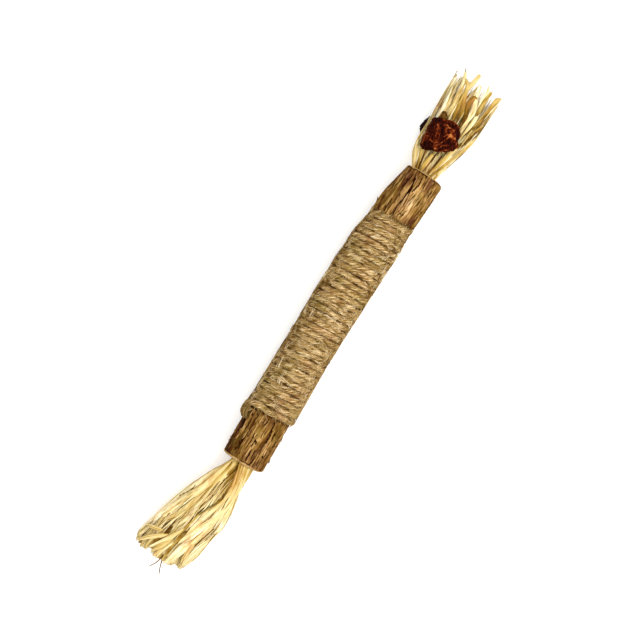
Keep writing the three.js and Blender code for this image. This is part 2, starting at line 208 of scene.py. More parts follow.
for side in (-1, 1):
    select(stick, "FACE", lambda face: face.normal.x * side > 0.9)
    for _ in range(CAP_RINGS):
        bpy.ops.mesh.inset(thickness=(BARK_RADIUS - SOCKET_RADIUS) / CAP_RINGS * MM)
    bpy.ops.mesh.extrude_region_move(TRANSFORM_OT_translate={"value": (-side * SOCKET_DEPTH * MM, 0, 0)})
    bpy.ops.mesh.inset(thickness=SOCKET_FLOOR_RING * MM)
bpy.ops.object.mode_set(mode="OBJECT")

noise.seed_set(5)  # so that the bark and the fruits wrinkle the same way each time

# Cracks that the photograph shows on the upper side: from (x, y) to (x, y), how deep and how wide.
CRACKS = [
    # The first two lie along the doubled end of the twine: partly real cracks, partly painted shade beside
    # it.
    (-51.6, 6.1, -46.0, 6.2, 1.3, 0.8), (-47.6, 6.2, -40.2, 6.2, 1.3, 0.8),
    (-54.8, 0.2, -48.7, 0.35, 0.6, 0.26), (-59.3, -1.8, -54.2, -1.7, 0.4, 0.4),
    (-60.7, -3.7, -56.2, -4.3, 0.55, 0.24), (-52.0, -4.9, -46.2, -4.6, 0.6, 0.3),
    (-46.6, -4.3, -41.0, -3.9, 0.7, 0.32), (-55.7, -6.4, -51.5, -6.5, 0.5, 0.28),
    (-51.5, -7.8, -44.6, -8.2, 0.8, 0.42), (-56.2, 2.9, -51.0, 3.1, 0.35, 0.4),
    (-45.4, 2.9, -41.8, 2.6, 0.35, 0.2), (-47.5, -6.0, -43.6, -6.4, 0.4, 0.22),
    (-45.7, -1.1, -42.0, -1.3, 0.35, 0.2), (-50.0, 4.3, -44.8, 4.1, 0.3, 0.3),
    (40.6, 3.1, 47.4, 3.0, 0.6, 0.26), (50.9, 4.3, 57.5, 3.5, 0.55, 0.28),
    (40.6, -0.1, 46.5, -0.2, 0.55, 0.22), (46.3, -0.3, 52.4, -0.7, 0.55, 0.26),
    (52.3, -1.9, 56.4, -2.6, 0.5, 0.3), (55.2, -2.9, 59.5, -2.2, 0.5, 0.24),
    (53.2, -7.4, 57.0, -7.9, 0.6, 0.26), (43.3, -8.0, 46.6, -8.3, 0.7, 0.32),
    (39.8, -6.6, 42.0, -7.2, 0.7, 0.4), (47.6, 6.5, 57.5, 4.9, 0.5, 0.34),
    (41.6, -1.9, 45.8, -2.4, 0.3, 0.2), (41.3, -3.2, 46.8, -3.6, 0.3, 0.22),
    (51.4, 2.1, 58.4, 1.0, 0.35, 0.3), (41.0, 2.1, 46.0, 1.9, 0.3, 0.2),
    (54.9, -4.7, 58.9, -4.4, 0.3, 0.2), (47.8, -5.5, 52.6, -5.9, 0.3, 0.22),
]

# Stains and bare patches: x, y, half length, half width, and how dark (below 0) or pale (above 0).
STAINS = [
    (-52.3, 3.4, 5.2, 1.4, -1.0), (-50.8, 1.2, 3.0, 0.6, 0.7), (-57.5, 0.6, 3.0, 1.6, -0.3),
    # The last on the next row, at x -41.6, is painted shade where the twine's first turn meets the bark.
    (-48.5, -2.0, 5.0, 1.6, 0.35), (-43.5, 0.4, 2.6, 2.2, 0.3), (-41.6, 2.4, 0.8, 4.0, -0.5),
    # The first on the next row, long and dark on the +Y side, is partly a real stain, partly painted shade
    # of that side.
    (-49.5, 6.5, 9.5, 2.3, -1.4), (-50.0, -7.4, 7.0, 2.0, -0.5), (-58.0, -6.0, 2.6, 1.6, -0.3),
    (53.0, 0.3, 2.6, 0.9, 0.8), (48.0, -3.4, 2.6, 1.6, 0.9), (55.4, 2.0, 4.2, 1.7, -0.8),
    (44.0, 1.3, 3.6, 0.8, 0.6), (51.5, 6.2, 5.6, 1.2, -0.7), (44.0, 5.4, 3.4, 1.6, -0.5),
    (59.4, -1.6, 1.0, 3.2, 0.4), (48.5, -7.0, 5.0, 1.1, 0.35), (41.4, -7.3, 1.4, 1.0, -1.0),
    (58.5, -6.8, 1.6, 1.2, -0.4), (46.5, -1.6, 2.0, 0.7, 0.5), (50.0, -2.0, 9.0, 5.0, 0.38),
]

# The twine's turns, counted from the middle of the winding, which bound the bare bark.
TWINE_PITCH = 2.4
TURNS_START = math.pi / 12  # the angle round the stick at which each turn starts
TURNS_AHEAD = 0.2917  # how far to +X turn 0 lies, in turns
FIRST_WHOLE_TURN, LAST_TURN = -17.0 + 1 / 12, 16.5
TWINE_COVERS = 1.45  # how far the end turns reach from their middle


def twine_edge(angle, side):
    """Where the waist ends, at an angle round the stick from +Y to +Z: it follows the end turns."""
    turn = 2 * math.pi
    if side < 0:
        past = ((angle - (FIRST_WHOLE_TURN * turn + TURNS_START)) / turn) % 1.0
        return TWINE_PITCH * (FIRST_WHOLE_TURN + past + TURNS_AHEAD) - TWINE_COVERS
    past = (((LAST_TURN * turn + TURNS_START) - angle) / turn) % 1.0
    return TWINE_PITCH * (LAST_TURN - past + TURNS_AHEAD) + TWINE_COVERS


def on_top(x, angle, mark_x, mark_y):
    """How far a place lies from a mark on the upper side, along the stick and round it."""
    reach = max(-0.98, min(0.98, (mark_y - sideways(mark_x)) / BARK_RADIUS))
    around = angle if angle <= 1.5 * math.pi else angle - 2 * math.pi
    return x - mark_x, BARK_RADIUS * (math.acos(reach) - around)


def bark_at(x, angle):
    """The bark's height over the stick's radius, how far a place is cracked, and its stain."""
    y, z = BARK_RADIUS * math.cos(angle), BARK_RADIUS * math.sin(angle)
    drift = noise.noise_vector(Vector((x * 0.21, y * 0.3, z * 0.3)))
    runs_on = 1.0 if x < 0 else 0.62  # the cracks at the +X end are longer
    run = noise.noise(Vector((x * 0.13 * runs_on, y * 0.85, z * 0.85)) + drift * 0.2)
    fine_run = noise.noise(Vector((x * 0.2 * runs_on + 40, y * 1.9, z * 1.9)) + drift * 0.15)
    seam = 1 - smooth(abs(run), 0.0, 0.075)
    fine_seam = 1 - smooth(abs(fine_run), 0.0, 0.11)
    open_here = smooth(noise.noise(Vector((x * 0.22, y * 0.6, z * 0.6 + 9))), 0.0, 0.3)
    fine_open = smooth(noise.noise(Vector((x * 0.28, y * 1.1, z * 1.1 - 6))), -0.1, 0.35)
    plate = smooth(run, -0.25, 0.25) - 0.5
    lumps = noise.fractal(Vector((x * 0.16, y * 0.22, z * 0.22)), 1.0, 2.0, 2)
    grain = noise.fractal(Vector((x * 0.5, y * 2.8, z * 2.8)), 0.7, 2.1, 3)
    crack = 0.9 * seam * open_here
    fine_crack = 0.75 * fine_seam * fine_open
    height = 0.14 * plate + 0.2 * lumps + 0.08 * grain - 0.42 * crack - 0.24 * fine_crack
    crack = max(crack, fine_crack)
    cloud = noise.fractal(Vector((x * 0.13 + 5, y * 0.3, z * 0.3)), 1.0, 2.0, 3)
    stain = 0.5 * cloud + 0.2 * plate + 0.25 * grain
    if z > -2:
        for x0, y0, x1, y1, depth, width in CRACKS:
            share = (x - x0) / (x1 - x0)
            if -0.05 < share < 1.05:
                wander = 0.10 * math.sin(1.1 * x + 3 * x0) + 0.06 * math.sin(3.3 * x + x0)
                _, aside = on_top(x, angle, x, mix(y0, y1, share) + wander)
                along = max(0.0, math.sin(math.pi * min(1, max(0, share)))) ** 0.5
                jagged = width * (0.66 + 0.5 * noise.noise(Vector((1.7 * x, x0, 0))))
                cut = along * math.exp(-(aside / jagged) ** 2)
                lip = along * math.exp(-((aside + 2.1 * width) / (1.3 * width)) ** 2)
                height += 0.16 * lip - depth * cut
                crack = max(crack, 1.1 * cut * (0.55 + depth))
                stain += 0.5 * lip
        for mark_x, mark_y, half_length, half_width, strength in STAINS:
            along, aside = on_top(x, angle, mark_x, mark_y)
            away = (along / half_length) ** 2 + (aside / half_width) ** 2
            if away < 4:
                stain += strength * math.exp(-away * 1.2)
    return height, min(1.0, crack), stain


def shaped_bark(x, angle):
    """The stick's radius at a place, its crack and its stain, with painted shade beside and under the twine.
    """
    start, end = twine_edge(angle, -1), twine_edge(angle, 1)
    bare = max(smooth(start - x, -0.2, 0.4), smooth(x - end, -0.2, 0.4))
    if bare == 0:
        # Under the twine the waist's colour is lowered: painted shade.
        return WAIST_RADIUS - deeper(x), 0.3, -0.4
    height, crack, stain = bark_at(x, angle)
    height *= (1 - 0.5 * worn_at(x)) * (1 - 0.6 * smooth(abs(x), FLATTER_FROM, FLATTER_TO))
    radius = BARK_RADIUS + THICKER * x / HALF_LENGTH + height - worn_off(x, angle)
    # Beside the end turns the bark sinks in, and painted shade lowers its colour where the twine meets it.
    pressed_and_shaded = 0.5 * math.exp(-max(start - x, x - end, 0.0) / PRESSED_LENGTH)
    round_end = Vector((2.2 * math.cos(angle), 2.2 * math.sin(angle), math.copysign(3, x)))
    from_face = 0.65 if x > 0 else 0.95
    cut_at = HALF_LENGTH - from_face + 0.3 * noise.noise(round_end)
    burr = math.exp(-((abs(x) - cut_at) / SAW_MARK_WIDTH) ** 2)
    burr *= smooth(noise.noise(round_end * 1.3), -0.35, 0.1)
    crack = max(crack, 0.75 * burr)
    edge = SAWN_EDGE * (0.7 + 1.5 * max(0.0, -math.cos(angle)))
    inward = max(0.0, abs(x) - (HALF_LENGTH - edge))
    radius -= edge - math.sqrt(max(0.0, edge ** 2 - inward ** 2))
    radius = mix(WAIST_RADIUS - deeper(x), radius - 0.3 * pressed_and_shaded, bare)
    return radius, max(crack, 0.4 * pressed_and_shaded), stain - 0.5 * pressed_and_shaded


def set_numbers(piece, name, numbers):
    """Keeps a number for each of a piece's points, which its material reads."""
    numbers = np.asarray(numbers, np.float32)
    piece.data.attributes.new(name, "FLOAT", "POINT").data.foreach_set("value", numbers)


cracks, stains, cut_wood = [], [], []
for vertex in stick.data.vertices:
    x, y, z = vertex.co / MM - Vector((0, 0, AXIS_HEIGHT))
    side = 1 if x > 0 else -1
    angle, away = math.atan2(z, y) % (2 * math.pi), math.hypot(y, z)
    rim, crack, stain = shaped_bark(x, angle)
    in_socket = away < SOCKET_RADIUS + 0.05
    share = min(1.0, max(0.0, (away - SOCKET_RADIUS) / (BARK_RADIUS - SOCKET_RADIUS)))
    capped = share < 0.99
    if capped and not in_socket:
        x += 0.1 * noise.noise(Vector((y * 0.9, z * 0.9, side))) + 0.04 * math.sin(9 * y + 2 * z)
    centre = mix(sideways(side * HALF_LENGTH) - 0.2, sideways(x), share) if capped else sideways(x)
    radius = mix(min(away, SOCKET_RADIUS), rim, share) if capped else rim
    vertex.co = Vector((x, centre + radius * math.cos(angle), AXIS_HEIGHT + radius * math.sin(angle))) * MM
    cracks.append(0.0 if capped else crack)
    stains.append(stain)
    uneven = abs(x) + 0.3 * noise.noise(vertex.co * 700) - 0.15 * side
    cut_wood.append(1.0 if capped else smooth(uneven, HALF_LENGTH - 0.65, HALF_LENGTH - 0.45))
set_numbers(stick, "crack", cracks)
set_numbers(stick, "stain", stains)
set_numbers(stick, "cut_wood", cut_wood)
bpy.ops.object.shade_smooth()

# Slivers of bark that have lifted at one end: x and angle of the end that holds, length, half width as an
# angle, thickness, lift, stain. Four are listed, and the others are drawn by lot.
SLIVERS = [(40.8, 0.12, 4.6, 0.11, 1.5, 0.75, -1.2), (44.5, 2.6, 4.6, 0.11, 1.5, 0.75, -0.4),
           (-47.0, 2.5, 5.4, 0.11, 1.5, 0.75, -0.6), (-52.0, 0.7, 5.0, 0.11, 1.5, 0.75, -0.9)]
FLAKES = 90
lots = np.random.default_rng(3)
for _ in range(FLAKES):
    side = lots.choice([-1, 1])
    x, angle, length = side * lots.uniform(42.5, 53.5), lots.uniform(0, 2 * math.pi), lots.uniform(2.5, 6.0)
    wide, thick = lots.uniform(0.025, 0.06), lots.uniform(0.15, 0.35)
    lift, stain = lots.uniform(0.05, 0.25), lots.uniform(-1.1, 0.9)
    SLIVERS.append((x, angle, length, wide, thick, lift, stain))
bpy.ops.object.select_all(action="DESELECT")
bpy.ops.mesh.primitive_cube_add(size=1)
pattern = bpy.context.object
bpy.ops.object.mode_set(mode="EDIT")
bpy.ops.mesh.subdivide(number_cuts=4)
bpy.ops.object.mode_set(mode="OBJECT")
bpy.ops.object.shade_smooth()
slivers = []
for x, angle, length, wide, thick, lift, stain in SLIVERS:
    sliver = pattern.copy()
    sliver.data = pattern.data.copy()
    bpy.context.scene.collection.objects.link(sliver)
    for vertex in sliver.data.vertices:
        share = vertex.co.x + 0.5
        frayed = min(1, 3 * share + 0.3) * (1 - share ** 2) + 0.06
        around = angle + (2 * vertex.co.y * frayed + 0.8 * noise.noise(Vector((2 * share, 0, x)))) * wide
        foot = mix(-thick - 0.45, lift, share ** 1.3)
        rounded = 1 - 0.7 * (2 * vertex.co.y) ** 2
        radius = BARK_RADIUS + foot + (vertex.co.z + 0.5) * mix(thick + 0.2, 0.12, share) * rounded
        place = x + share * length * (1 if x > 0 else -1)
        radius -= worn_off(place, angle)
        on_stick = min(HALF_LENGTH - 1, max(1 - HALF_LENGTH, place))
        y, z = sideways(place) + radius * math.cos(around), AXIS_HEIGHT + radius * math.sin(around)
        vertex.co = Vector((on_stick, y, z)) * MM
    if x < 0:
        sliver.data.flip_normals()
    count = len(sliver.data.vertices)
    set_numbers(sliver, "crack", [0.0] * count)
    set_numbers(sliver, "stain", [stain] * count)
    set_numbers(sliver, "cut_wood", [0.0] * count)
    slivers.append(sliver)
bpy.data.objects.remove(pattern)
bpy.ops.object.select_all(action="DESELECT")
for sliver in slivers:
    sliver.select_set(True)
stick.select_set(True)
bpy.context.view_layer.objects.active = stick
bpy.ops.object.join()


def node(tree, kind, links=None, **values):
    """A new shader node with its settings, and its inputs set or linked by name or number."""
    made = tree.nodes.new("ShaderNode" + kind)
    for name, value in values.items():
        setattr(made, name, value)
    for name, value in (links or {}).items():
        socket = made.inputs[name]
        if isinstance(value, bpy.types.NodeSocket):
            tree.links.new(value, socket)
        else:
            socket.default_value = value
    return made


def spots(tree, place, closeness, detail, rough):
    """Noise with a number of spots to each unit of length, along each of the three axes."""
    spread = node(tree, "Mapping", {"Vector": place, "Scale": closeness}).outputs["Vector"]
    noise_inputs = {"Vector": spread, "Scale": 1, "Detail": detail, "Roughness": rough}
    return node(tree, "TexNoise", noise_inputs).outputs["Fac"]


def ramp(tree, amount, stops):
    """A colour for each amount, from (place, colour) stops."""
    made = node(tree, "ValToRGB", {"Fac": amount})
    points = made.color_ramp.elements
    while len(points) < len(stops):
        points.new(0.5)
    for point, (place, code) in zip(points, stops):
        point.position = place
        point.color = colour(code)
    return made.outputs["Color"]


def blended(tree, share, low, high, kind="MIX"):
    """Two colours mixed by a share."""
    return node(tree, "Mix", {0: share, 6: low, 7: high}, data_type="RGBA", blend_type=kind).outputs[2]


def ranged(tree, amount, low, high, to_low=0.0, to_high=1.0):
    """An amount brought from one range to another."""
    return node(tree, "MapRange", {
        "Value": amount, "From Min": low, "From Max": high, "To Min": to_low, "To Max": to_high}).outputs[0]


def number(tree, name):
    """A number that the piece keeps for each of its points."""
    return node(tree, "Attribute", attribute_name=name).outputs["Fac"]


def added(tree, one, other):
    """Two amounts, added."""
    return node(tree, "Math", {0: one, 1: other}, operation="ADD").outputs[0]


def multiplied(tree, one, other):
    """Two amounts, multiplied."""
    return node(tree, "Math", {0: one, 1: other}, operation="MULTIPLY").outputs[0]


def rough_surface(tree, shader, amount, strength, depth):
    """Fine relief on a surface."""
    bump = node(tree, "Bump", {"Height": amount, "Strength": strength, "Distance": depth * MM})
    tree.links.new(bump.outputs["Normal"], shader.inputs["Normal"])


bark, tree, shader = new_material("dry silvervine bark", 0.9, 0.01)
place = node(tree, "TexCoord").outputs["Object"]
fibres = spots(tree, place, (110, 2600, 2600), 4, 0.62)
flecks = spots(tree, place, (170, 1900, 1900), 3, 0.6)
clouds = spots(tree, place, (110, 330, 330), 3, 0.55)
hues = spots(tree, place, (120, 210, 210), 2, 0.5)
stain = number(tree, "stain")
toned = added(tree, stain, ranged(tree, clouds, 0.35, 0.65, -0.5, 0.45))
base = ramp(tree, ranged(tree, toned, -1.2, 1.2), [
    (0.0, "#2e1003"), (0.2, "#4a270c"), (0.4, "#68471b"),
    (0.58, "#8a6934"), (0.78, "#ad8952"), (1.0, "#d5b380")])
base = blended(tree, ranged(tree, hues, 0.52, 0.66, 0.0, 0.45), base, colour("#6f4a34"))
base = blended(tree, ranged(tree, hues, 0.46, 0.34, 0.0, 0.4), base, colour("#776827"))
streaks = ramp(tree, fibres, [(0.37, "#725835"), (0.47, "#d8cbb8"), (0.57, "#ffffff")])
base = blended(tree, 0.9, base, streaks, "MULTIPLY")
off_stains = ranged(tree, stain, -1.2, -0.3, 0.25, 1.0)
pale = multiplied(tree, ranged(tree, flecks, 0.58, 0.68, 0.0, 0.6), off_stains)
base = blended(tree, pale, base, colour("#bf9a63"))
base = blended(tree, ranged(tree, flecks, 0.4, 0.32, 0.0, 0.6), base, colour("#44200a"))
cracked = added(tree, number(tree, "crack"), ranged(tree, fibres, 0.35, 0.65, -0.22, 0.22))
base = blended(tree, ranged(tree, cracked, 0.14, 0.52), base, colour("#1e0800"))
wood_grain = spots(tree, place, (200, 1500, 1500), 3, 0.6)
wood = ramp(tree, wood_grain, [(0.3, "#73552c"), (0.5, "#a38251"), (0.7, "#c2a26f")])
base = blended(tree, number(tree, "cut_wood"), base, wood)
tree.links.new(base, shader.inputs["Base Color"])
rough_surface(tree, shader, fibres, 0.5, 0.25)
stick.data.materials.append(bark)
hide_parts("silvervine_stick")
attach(stick, "root")

# The jute winding
# One length of hairy three-ply jute twine, 2.4 mm thick, laid in nearly 34 turns side by side. Its
# first end is doubled back on the bark at the +Y side and the last end is tucked under. The twine is
# held by its own grip and a little glue.
TWINE_HALF_WIDTH = 1.3
TWINE_HALF_HEIGHT = 1.02
WOUND_RADIUS = 9.3
TWINE_LAY = 17.0  # length of twine in which its plies go round once
TWINE_SIDES = 24
TWINE_STEP = 0.6
TAPER_LENGTH = 3.0
FIRST_TURN = -17 - 1 / 6
LEAD_TURNS, LAID_TURNS = 0.25, 1 / 3
HITCH_LEAD = 3.4  # how far outside its place the first end starts
DOUBLED_ASIDE = 2.3  # how far beside it the doubled end lies
UNDERSIDE = 0.02  # the lowest the twine comes over the surface
MAP_UNIT = 10.0  # how many mm of a strand lie along each unit of its map


def turn_place(turn, lead=0.0, rise=0.0):
    """The middle of the twine at a number of turns from the middle of the winding."""
    uneven = 0.07 * math.sin(1.9 * turn) + 0.07 * math.sin(5.3 * turn + 1)
    uneven += 0.09 * math.sin(17.7 * turn) + 0.06 * math.sin(41 * turn + 2)
    x = TWINE_PITCH * (turn + TURNS_AHEAD) - lead + uneven
    angle = 2 * math.pi * turn + TURNS_START
    radius = WOUND_RADIUS - deeper(x) - TWINE_HALF_HEIGHT + rise + 0.05 * math.sin(3.1 * turn)
    return Vector((x, sideways(x) + radius * math.cos(angle), AXIS_HEIGHT + radius * math.sin(angle)))


def hitch(turn):
    """How far outside its place in the winding the first end lies, and how far above it."""
    lead = HITCH_LEAD * (1 - min(1.0, (turn - FIRST_TURN) / LEAD_TURNS))
    return lead, 1 - smooth(turn, FIRST_TURN + LEAD_TURNS, FIRST_TURN + LAID_TURNS)


def doubled(turn):
    """The same for the end that is doubled back beside it."""
    share = (turn - FIRST_TURN) / LEAD_TURNS
    return hitch(turn)[0] + DOUBLED_ASIDE * mix(0.6, 1.05, min(1.0, 2 * share)), mix(0.95, 0.7, share)


def lofted(name, strands):
    """One mesh of closed strands: each its rings of points in mm, how far along each ring is, and a tone."""
    points, faces, maps, own_chances, tones = [], [], [], [], []
    for which, (rings, along, *tone) in enumerate(strands):
        count, sides = rings.shape[:2]
        first = len(points)
        points.extend(rings.reshape(-1, 3) * MM)
        chance = which * 0.618034 % 1.0  # spreads evenly from 0 to 1
        own_chances.extend([chance] * (count * sides))
        tones.extend([tone[0] if tone else chance] * (count * sides))
        for i in range(count - 1):
            for j in range(sides):
                k = (j + 1) % sides
                faces.append((first + i * sides + j, first + i * sides + k,
                              first + (i + 1) * sides + k, first + (i + 1) * sides + j))
                left, right = j / sides, (j + 1) / sides
                maps += [(along[i], left), (along[i], right), (along[i + 1], right), (along[i + 1], left)]
        faces.append(tuple(range(first + sides - 1, first - 1, -1)))
        faces.append(tuple(range(first + (count - 1) * sides, first + count * sides)))
        maps += [(along[0], 0.5)] * sides + [(along[-1], 0.5)] * sides
    mesh = bpy.data.meshes.new(name)
    mesh.from_pydata(points, [], faces)
    layer = mesh.uv_layers.new(name="strand_map")
    layer.data.foreach_set("uv", np.asarray(maps, np.float32).ravel())
    piece = bpy.data.objects.new(name, mesh)
    bpy.context.scene.collection.objects.link(piece)
    set_numbers(piece, "chance", own_chances)
    set_numbers(piece, "tone", tones)
    mesh.polygons.foreach_set("use_smooth", [True] * len(mesh.polygons))
    return piece


def ply_radius(angle):
    """The radius of three plies laid together, at an angle round the twine, as a share of its own."""
    aside = (angle + math.pi / 3) % (2 * math.pi / 3) - math.pi / 3
    return 0.16 * math.cos(aside) + math.sqrt(0.84 ** 2 - (0.16 * math.sin(aside)) ** 2)


def twine_strand(start, end, away, seed):
    """A length of twine from one turn to another, some way out of its place in the winding."""
    steps = int(abs(end - start) * 2 * math.pi * WOUND_RADIUS / TWINE_STEP) + 1
    turns = np.linspace(start, end, steps + 1)
    middles = [turn_place(turn, *away(turn)) for turn in turns]
    rings, along, length = [], [], 0.0
    for i, middle in enumerate(middles):
        ahead = (middles[min(i + 1, steps)] - middles[max(i - 1, 0)]).normalized()
        outward = Vector((0, middle.y - sideways(middle.x), middle.z - AXIS_HEIGHT)).normalized()
        across = outward.cross(ahead).normalized() * -1
        outward = ahead.cross(across) * -1
        if i:
            length += (middle - middles[i - 1]).length
        from_end = min(i, steps - i) * TWINE_STEP
        thick = mix(0.2, 1.0, smooth(from_end, 0, TAPER_LENGTH))
        twist = 2 * math.pi * length / TWINE_LAY
        ring = []
        for j in range(TWINE_SIDES):
            angle = 2 * math.pi * j / TWINE_SIDES
            laid = angle - twist
            grain = noise.noise(Vector((length * 0.5 + seed, 4.5 * math.cos(laid), 4.5 * math.sin(laid))))
            clump = noise.noise(Vector((length * 1.3, 2.6 * math.cos(angle), 2.6 * math.sin(angle) + seed)))
            fat = noise.noise(Vector((length * 0.12, seed, 0)))
            square = (abs(math.cos(angle)) ** 2.1 + abs(math.sin(angle)) ** 2.1) ** (-1 / 2.1)
            size = thick * square * (ply_radius(laid) + 0.1 * grain + 0.1 * clump + 0.1 * fat)
            point = middle + across * (size * TWINE_HALF_WIDTH * math.cos(angle))
            point += outward * (size * TWINE_HALF_HEIGHT * math.sin(angle))
            ring.append((point.x, point.y, max(UNDERSIDE, point.z)))
        rings.append(ring)
        along.append(length / MAP_UNIT)
    return np.array(rings), along


winding = lofted("twine_winding", [
    twine_strand(FIRST_TURN, LAST_TURN, hitch, 0),
    twine_strand(FIRST_TURN, FIRST_TURN + LEAD_TURNS, doubled, 5),
])
# Painted shade, how dark each point is: in the grooves between the turns, and a little at the sides.
painted_shades = []
for vertex in winding.data.vertices:
    x, y, z = vertex.co / MM
    y, z = y - sideways(x), z - AXIS_HEIGHT
    angle = math.atan2(z, y) % (2 * math.pi)
    before_first = smooth(twine_edge(angle, -1) + TWINE_HALF_WIDTH - x, 0.0, 0.5)
    past_last = smooth(x + TWINE_HALF_WIDTH - twine_edge(angle, 1), 0.0, 0.5)
    # Painted shade on the twine's sides, most on the +Y side, away from the lamp.
    painted_side_shade = 0.45 * max(0.0, math.cos(angle)) ** 3 + 0.25 * max(0.0, -math.cos(angle)) ** 3
    # Painted shade in the grooves between the turns, kept off the free sides of the end turns.
    deep = smooth(WOUND_RADIUS - deeper(x) - math.hypot(y, z), 0.15, 0.6)
    deep *= 1 - 0.85 * max(before_first, past_last)
    painted_shades.append(min(1.0, deep + painted_side_shade))
set_numbers(winding, "depth", painted_shades)

jute, tree, shader = new_material("hairy jute twine", 0.9, 0.01)
strand_place = node(tree, "UVMap", uv_map="strand_map").outputs["UV"]
place = node(tree, "TexCoord").outputs["Object"]
along, round_it = node(tree, "SeparateXYZ", {0: strand_place}).outputs[:2]
twist = multiplied(tree, along, -MAP_UNIT / TWINE_LAY)
with_plies = added(tree, twist, round_it)
laid_place = node(tree, "CombineXYZ", {0: along, 1: with_plies, 2: number(tree, "chance")}).outputs[0]
hairs = spots(tree, laid_place, (3.0, 30, 1), 4, 0.68)
clumps = spots(tree, place, (330, 330, 330), 4, 0.65)
patches = spots(tree, place, (110, 110, 110), 2, 0.5)
base = ramp(tree, hairs, [(0.37, "#321d00"), (0.455, "#6b4b1f"), (0.54, "#a2824d"), (0.625, "#f0daab")])
base = blended(tree, ranged(tree, clumps, 0.56, 0.7, 0.0, 0.55), base, colour("#74511f"))
base = blended(tree, ranged(tree, patches, 0.54, 0.68, 0.0, 0.4), base, colour("#97694b"))
base = blended(tree, ranged(tree, patches, 0.46, 0.34, 0.0, 0.35), base, colour("#837a3c"))
# Painted shade: the grooves between the turns and the twine's sides turn dark brown.
painted_shade_mask = multiplied(tree, number(tree, "depth"), ranged(tree, clumps, 0.4, 0.58, 0.25, 1.1))
base = blended(tree, painted_shade_mask, base, colour("#3f2507"))
tree.links.new(base, shader.inputs["Base Color"])
rough_surface(tree, shader, hairs, 0.6, 0.3)
winding.data.materials.append(jute)
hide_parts("jute_winding")
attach(winding, "root")

# The jute's hairs
# Loose fibres that stand out of the twine, most of them lying along its turns or over several of
# them, and a few sticking up. They are made as two halves, each with some from every place.
TUFTS = 1700
TUFT_HAIRS = 7
HITCH_HAIRS = 380
EDGE_HAIRS = 360
HAIR_SIDES = 3
HAIR_STEPS = 5
HAIRS_FROM, HAIRS_TO = -42.4, 41.6
HAIR_LOWEST = 0.11
HITCH_FROM, HITCH_FULL = -47.2, -44.6
HITCH_FOOT, HITCH_TOP = 8.35, 10.0  # how far from the stick's axis its hairs lie, before it and over it
OVER_BARK = 8.4
chances = np.random.default_rng(7)


def tube(path, radius, tip=0.3):
    """The rings of a thin fibre along a path, tapered to its tip."""
    path = np.asarray(path)
    rings = []
    for i, point in enumerate(path):
        ahead = Vector(path[min(i + 1, len(path) - 1)] - path[max(i - 1, 0)]).normalized()
        across = ahead.cross(Vector((0.31, 0.52, 0.8))).normalized()
        other = ahead.cross(across)
        size = radius * mix(1, tip, i / (len(path) - 1))
        rings.append([point + size * np.array(across * math.cos(a) + other * math.sin(a))
                      for a in (2 * math.pi * j / HAIR_SIDES for j in range(HAIR_SIDES))])
    return np.array(rings), list(np.linspace(0, 1, len(path)))


def on_winding(x, angle, radius):
    """A point over the winding, in mm."""
    y, z = sideways(x) + radius * math.cos(angle), AXIS_HEIGHT + radius * math.sin(angle)
    return x, y, max(HAIR_LOWEST, z)


def tuft():
    """Fibres of one tone that lie side by side over a turn, or across a few turns."""
    upper = chances.random() < 0.6
    angle = chances.uniform(-0.4, math.pi + 0.4) if upper else chances.uniform(math.pi, 2 * math.pi)
    turn = round(-17 + 33.4 * chances.random() ** 1.15) + (angle - TURNS_START) / (2 * math.pi)
    crossing = chances.random() < 0.35
    beside = chances.uniform(-1.2, 1.2) if crossing else chances.normal(0, 0.5)
    x = TWINE_PITCH * (turn + TURNS_AHEAD) + beside
    if chances.random() < 0.04 + 0.6 * math.cos(angle) ** 4:
        lean = chances.normal(math.pi / 2, 0.3)
    else:
        lean = chances.normal(0.3, 0.35) if crossing else chances.normal(0.08, 0.18)
    # Hairs on the twine's sides, at +Y and -Y, are given painted shade in their tone.
    tone = chances.random() * (1.0 if lean > 1 else 1 - 0.4 * math.cos(angle) ** 2)
    lift, bend = chances.uniform(-0.15, 0.1), chances.normal(0, 0.15)
    strands = []
    for _ in range(TUFT_HAIRS):
        length = chances.uniform(1.5, 6.0)
        fly = chances.uniform(0.25, 0.9) if chances.random() < 0.04 else chances.uniform(0, 0.08)
        hair_x, hair_angle = x + chances.normal(0, 0.2), angle + chances.normal(0, 0.06)
        hair_lean = lean + chances.normal(0, 0.12)
        path = []
        for i in range(HAIR_STEPS):
            share = i / (HAIR_STEPS - 1)
            radius = WOUND_RADIUS - deeper(hair_x) + lift + fly * share ** 1.5
            path.append(on_winding(min(HAIRS_TO, max(HAIRS_FROM, hair_x)), hair_angle, radius))
            hair_x += length / HAIR_STEPS * math.sin(hair_lean)
            hair_angle += length / HAIR_STEPS * math.cos(hair_lean) / WOUND_RADIUS
            hair_lean += bend
        strands.append((*tube(path, chances.uniform(0.035, 0.08)), tone + chances.normal(0, 0.1)))
    return strands


def hitch_hair():
    """A fibre that lies along the stick over the doubled first end."""
    x, angle = chances.uniform(-46.9, -42.6), chances.uniform(-1.0, 0.72)
    length, lean, lift = chances.uniform(2.5, 6.0), chances.normal(0, 0.16), chances.uniform(-0.1, 0.2)
    path = []
    for i in range(HAIR_STEPS):
        place = x + length * i / (HAIR_STEPS - 1)
        radius = mix(HITCH_FOOT, HITCH_TOP, smooth(place, HITCH_FROM, HITCH_FULL))
        radius -= 0.55 * smooth(place, -43.0, -40.0)  # down to the turns beside the hitch
        off_hitch = smooth(abs(angle + 0.1), 0.45, 1.1)
        radius -= 1.3 * off_hitch * (1 - smooth(place, -45.0, -42.0))
        path.append(on_winding(place, angle, radius + lift))
        angle += lean * length / HAIR_STEPS / WOUND_RADIUS
    return (*tube(path, chances.uniform(0.05, 0.1)), 0.75 * chances.random() ** 1.6)


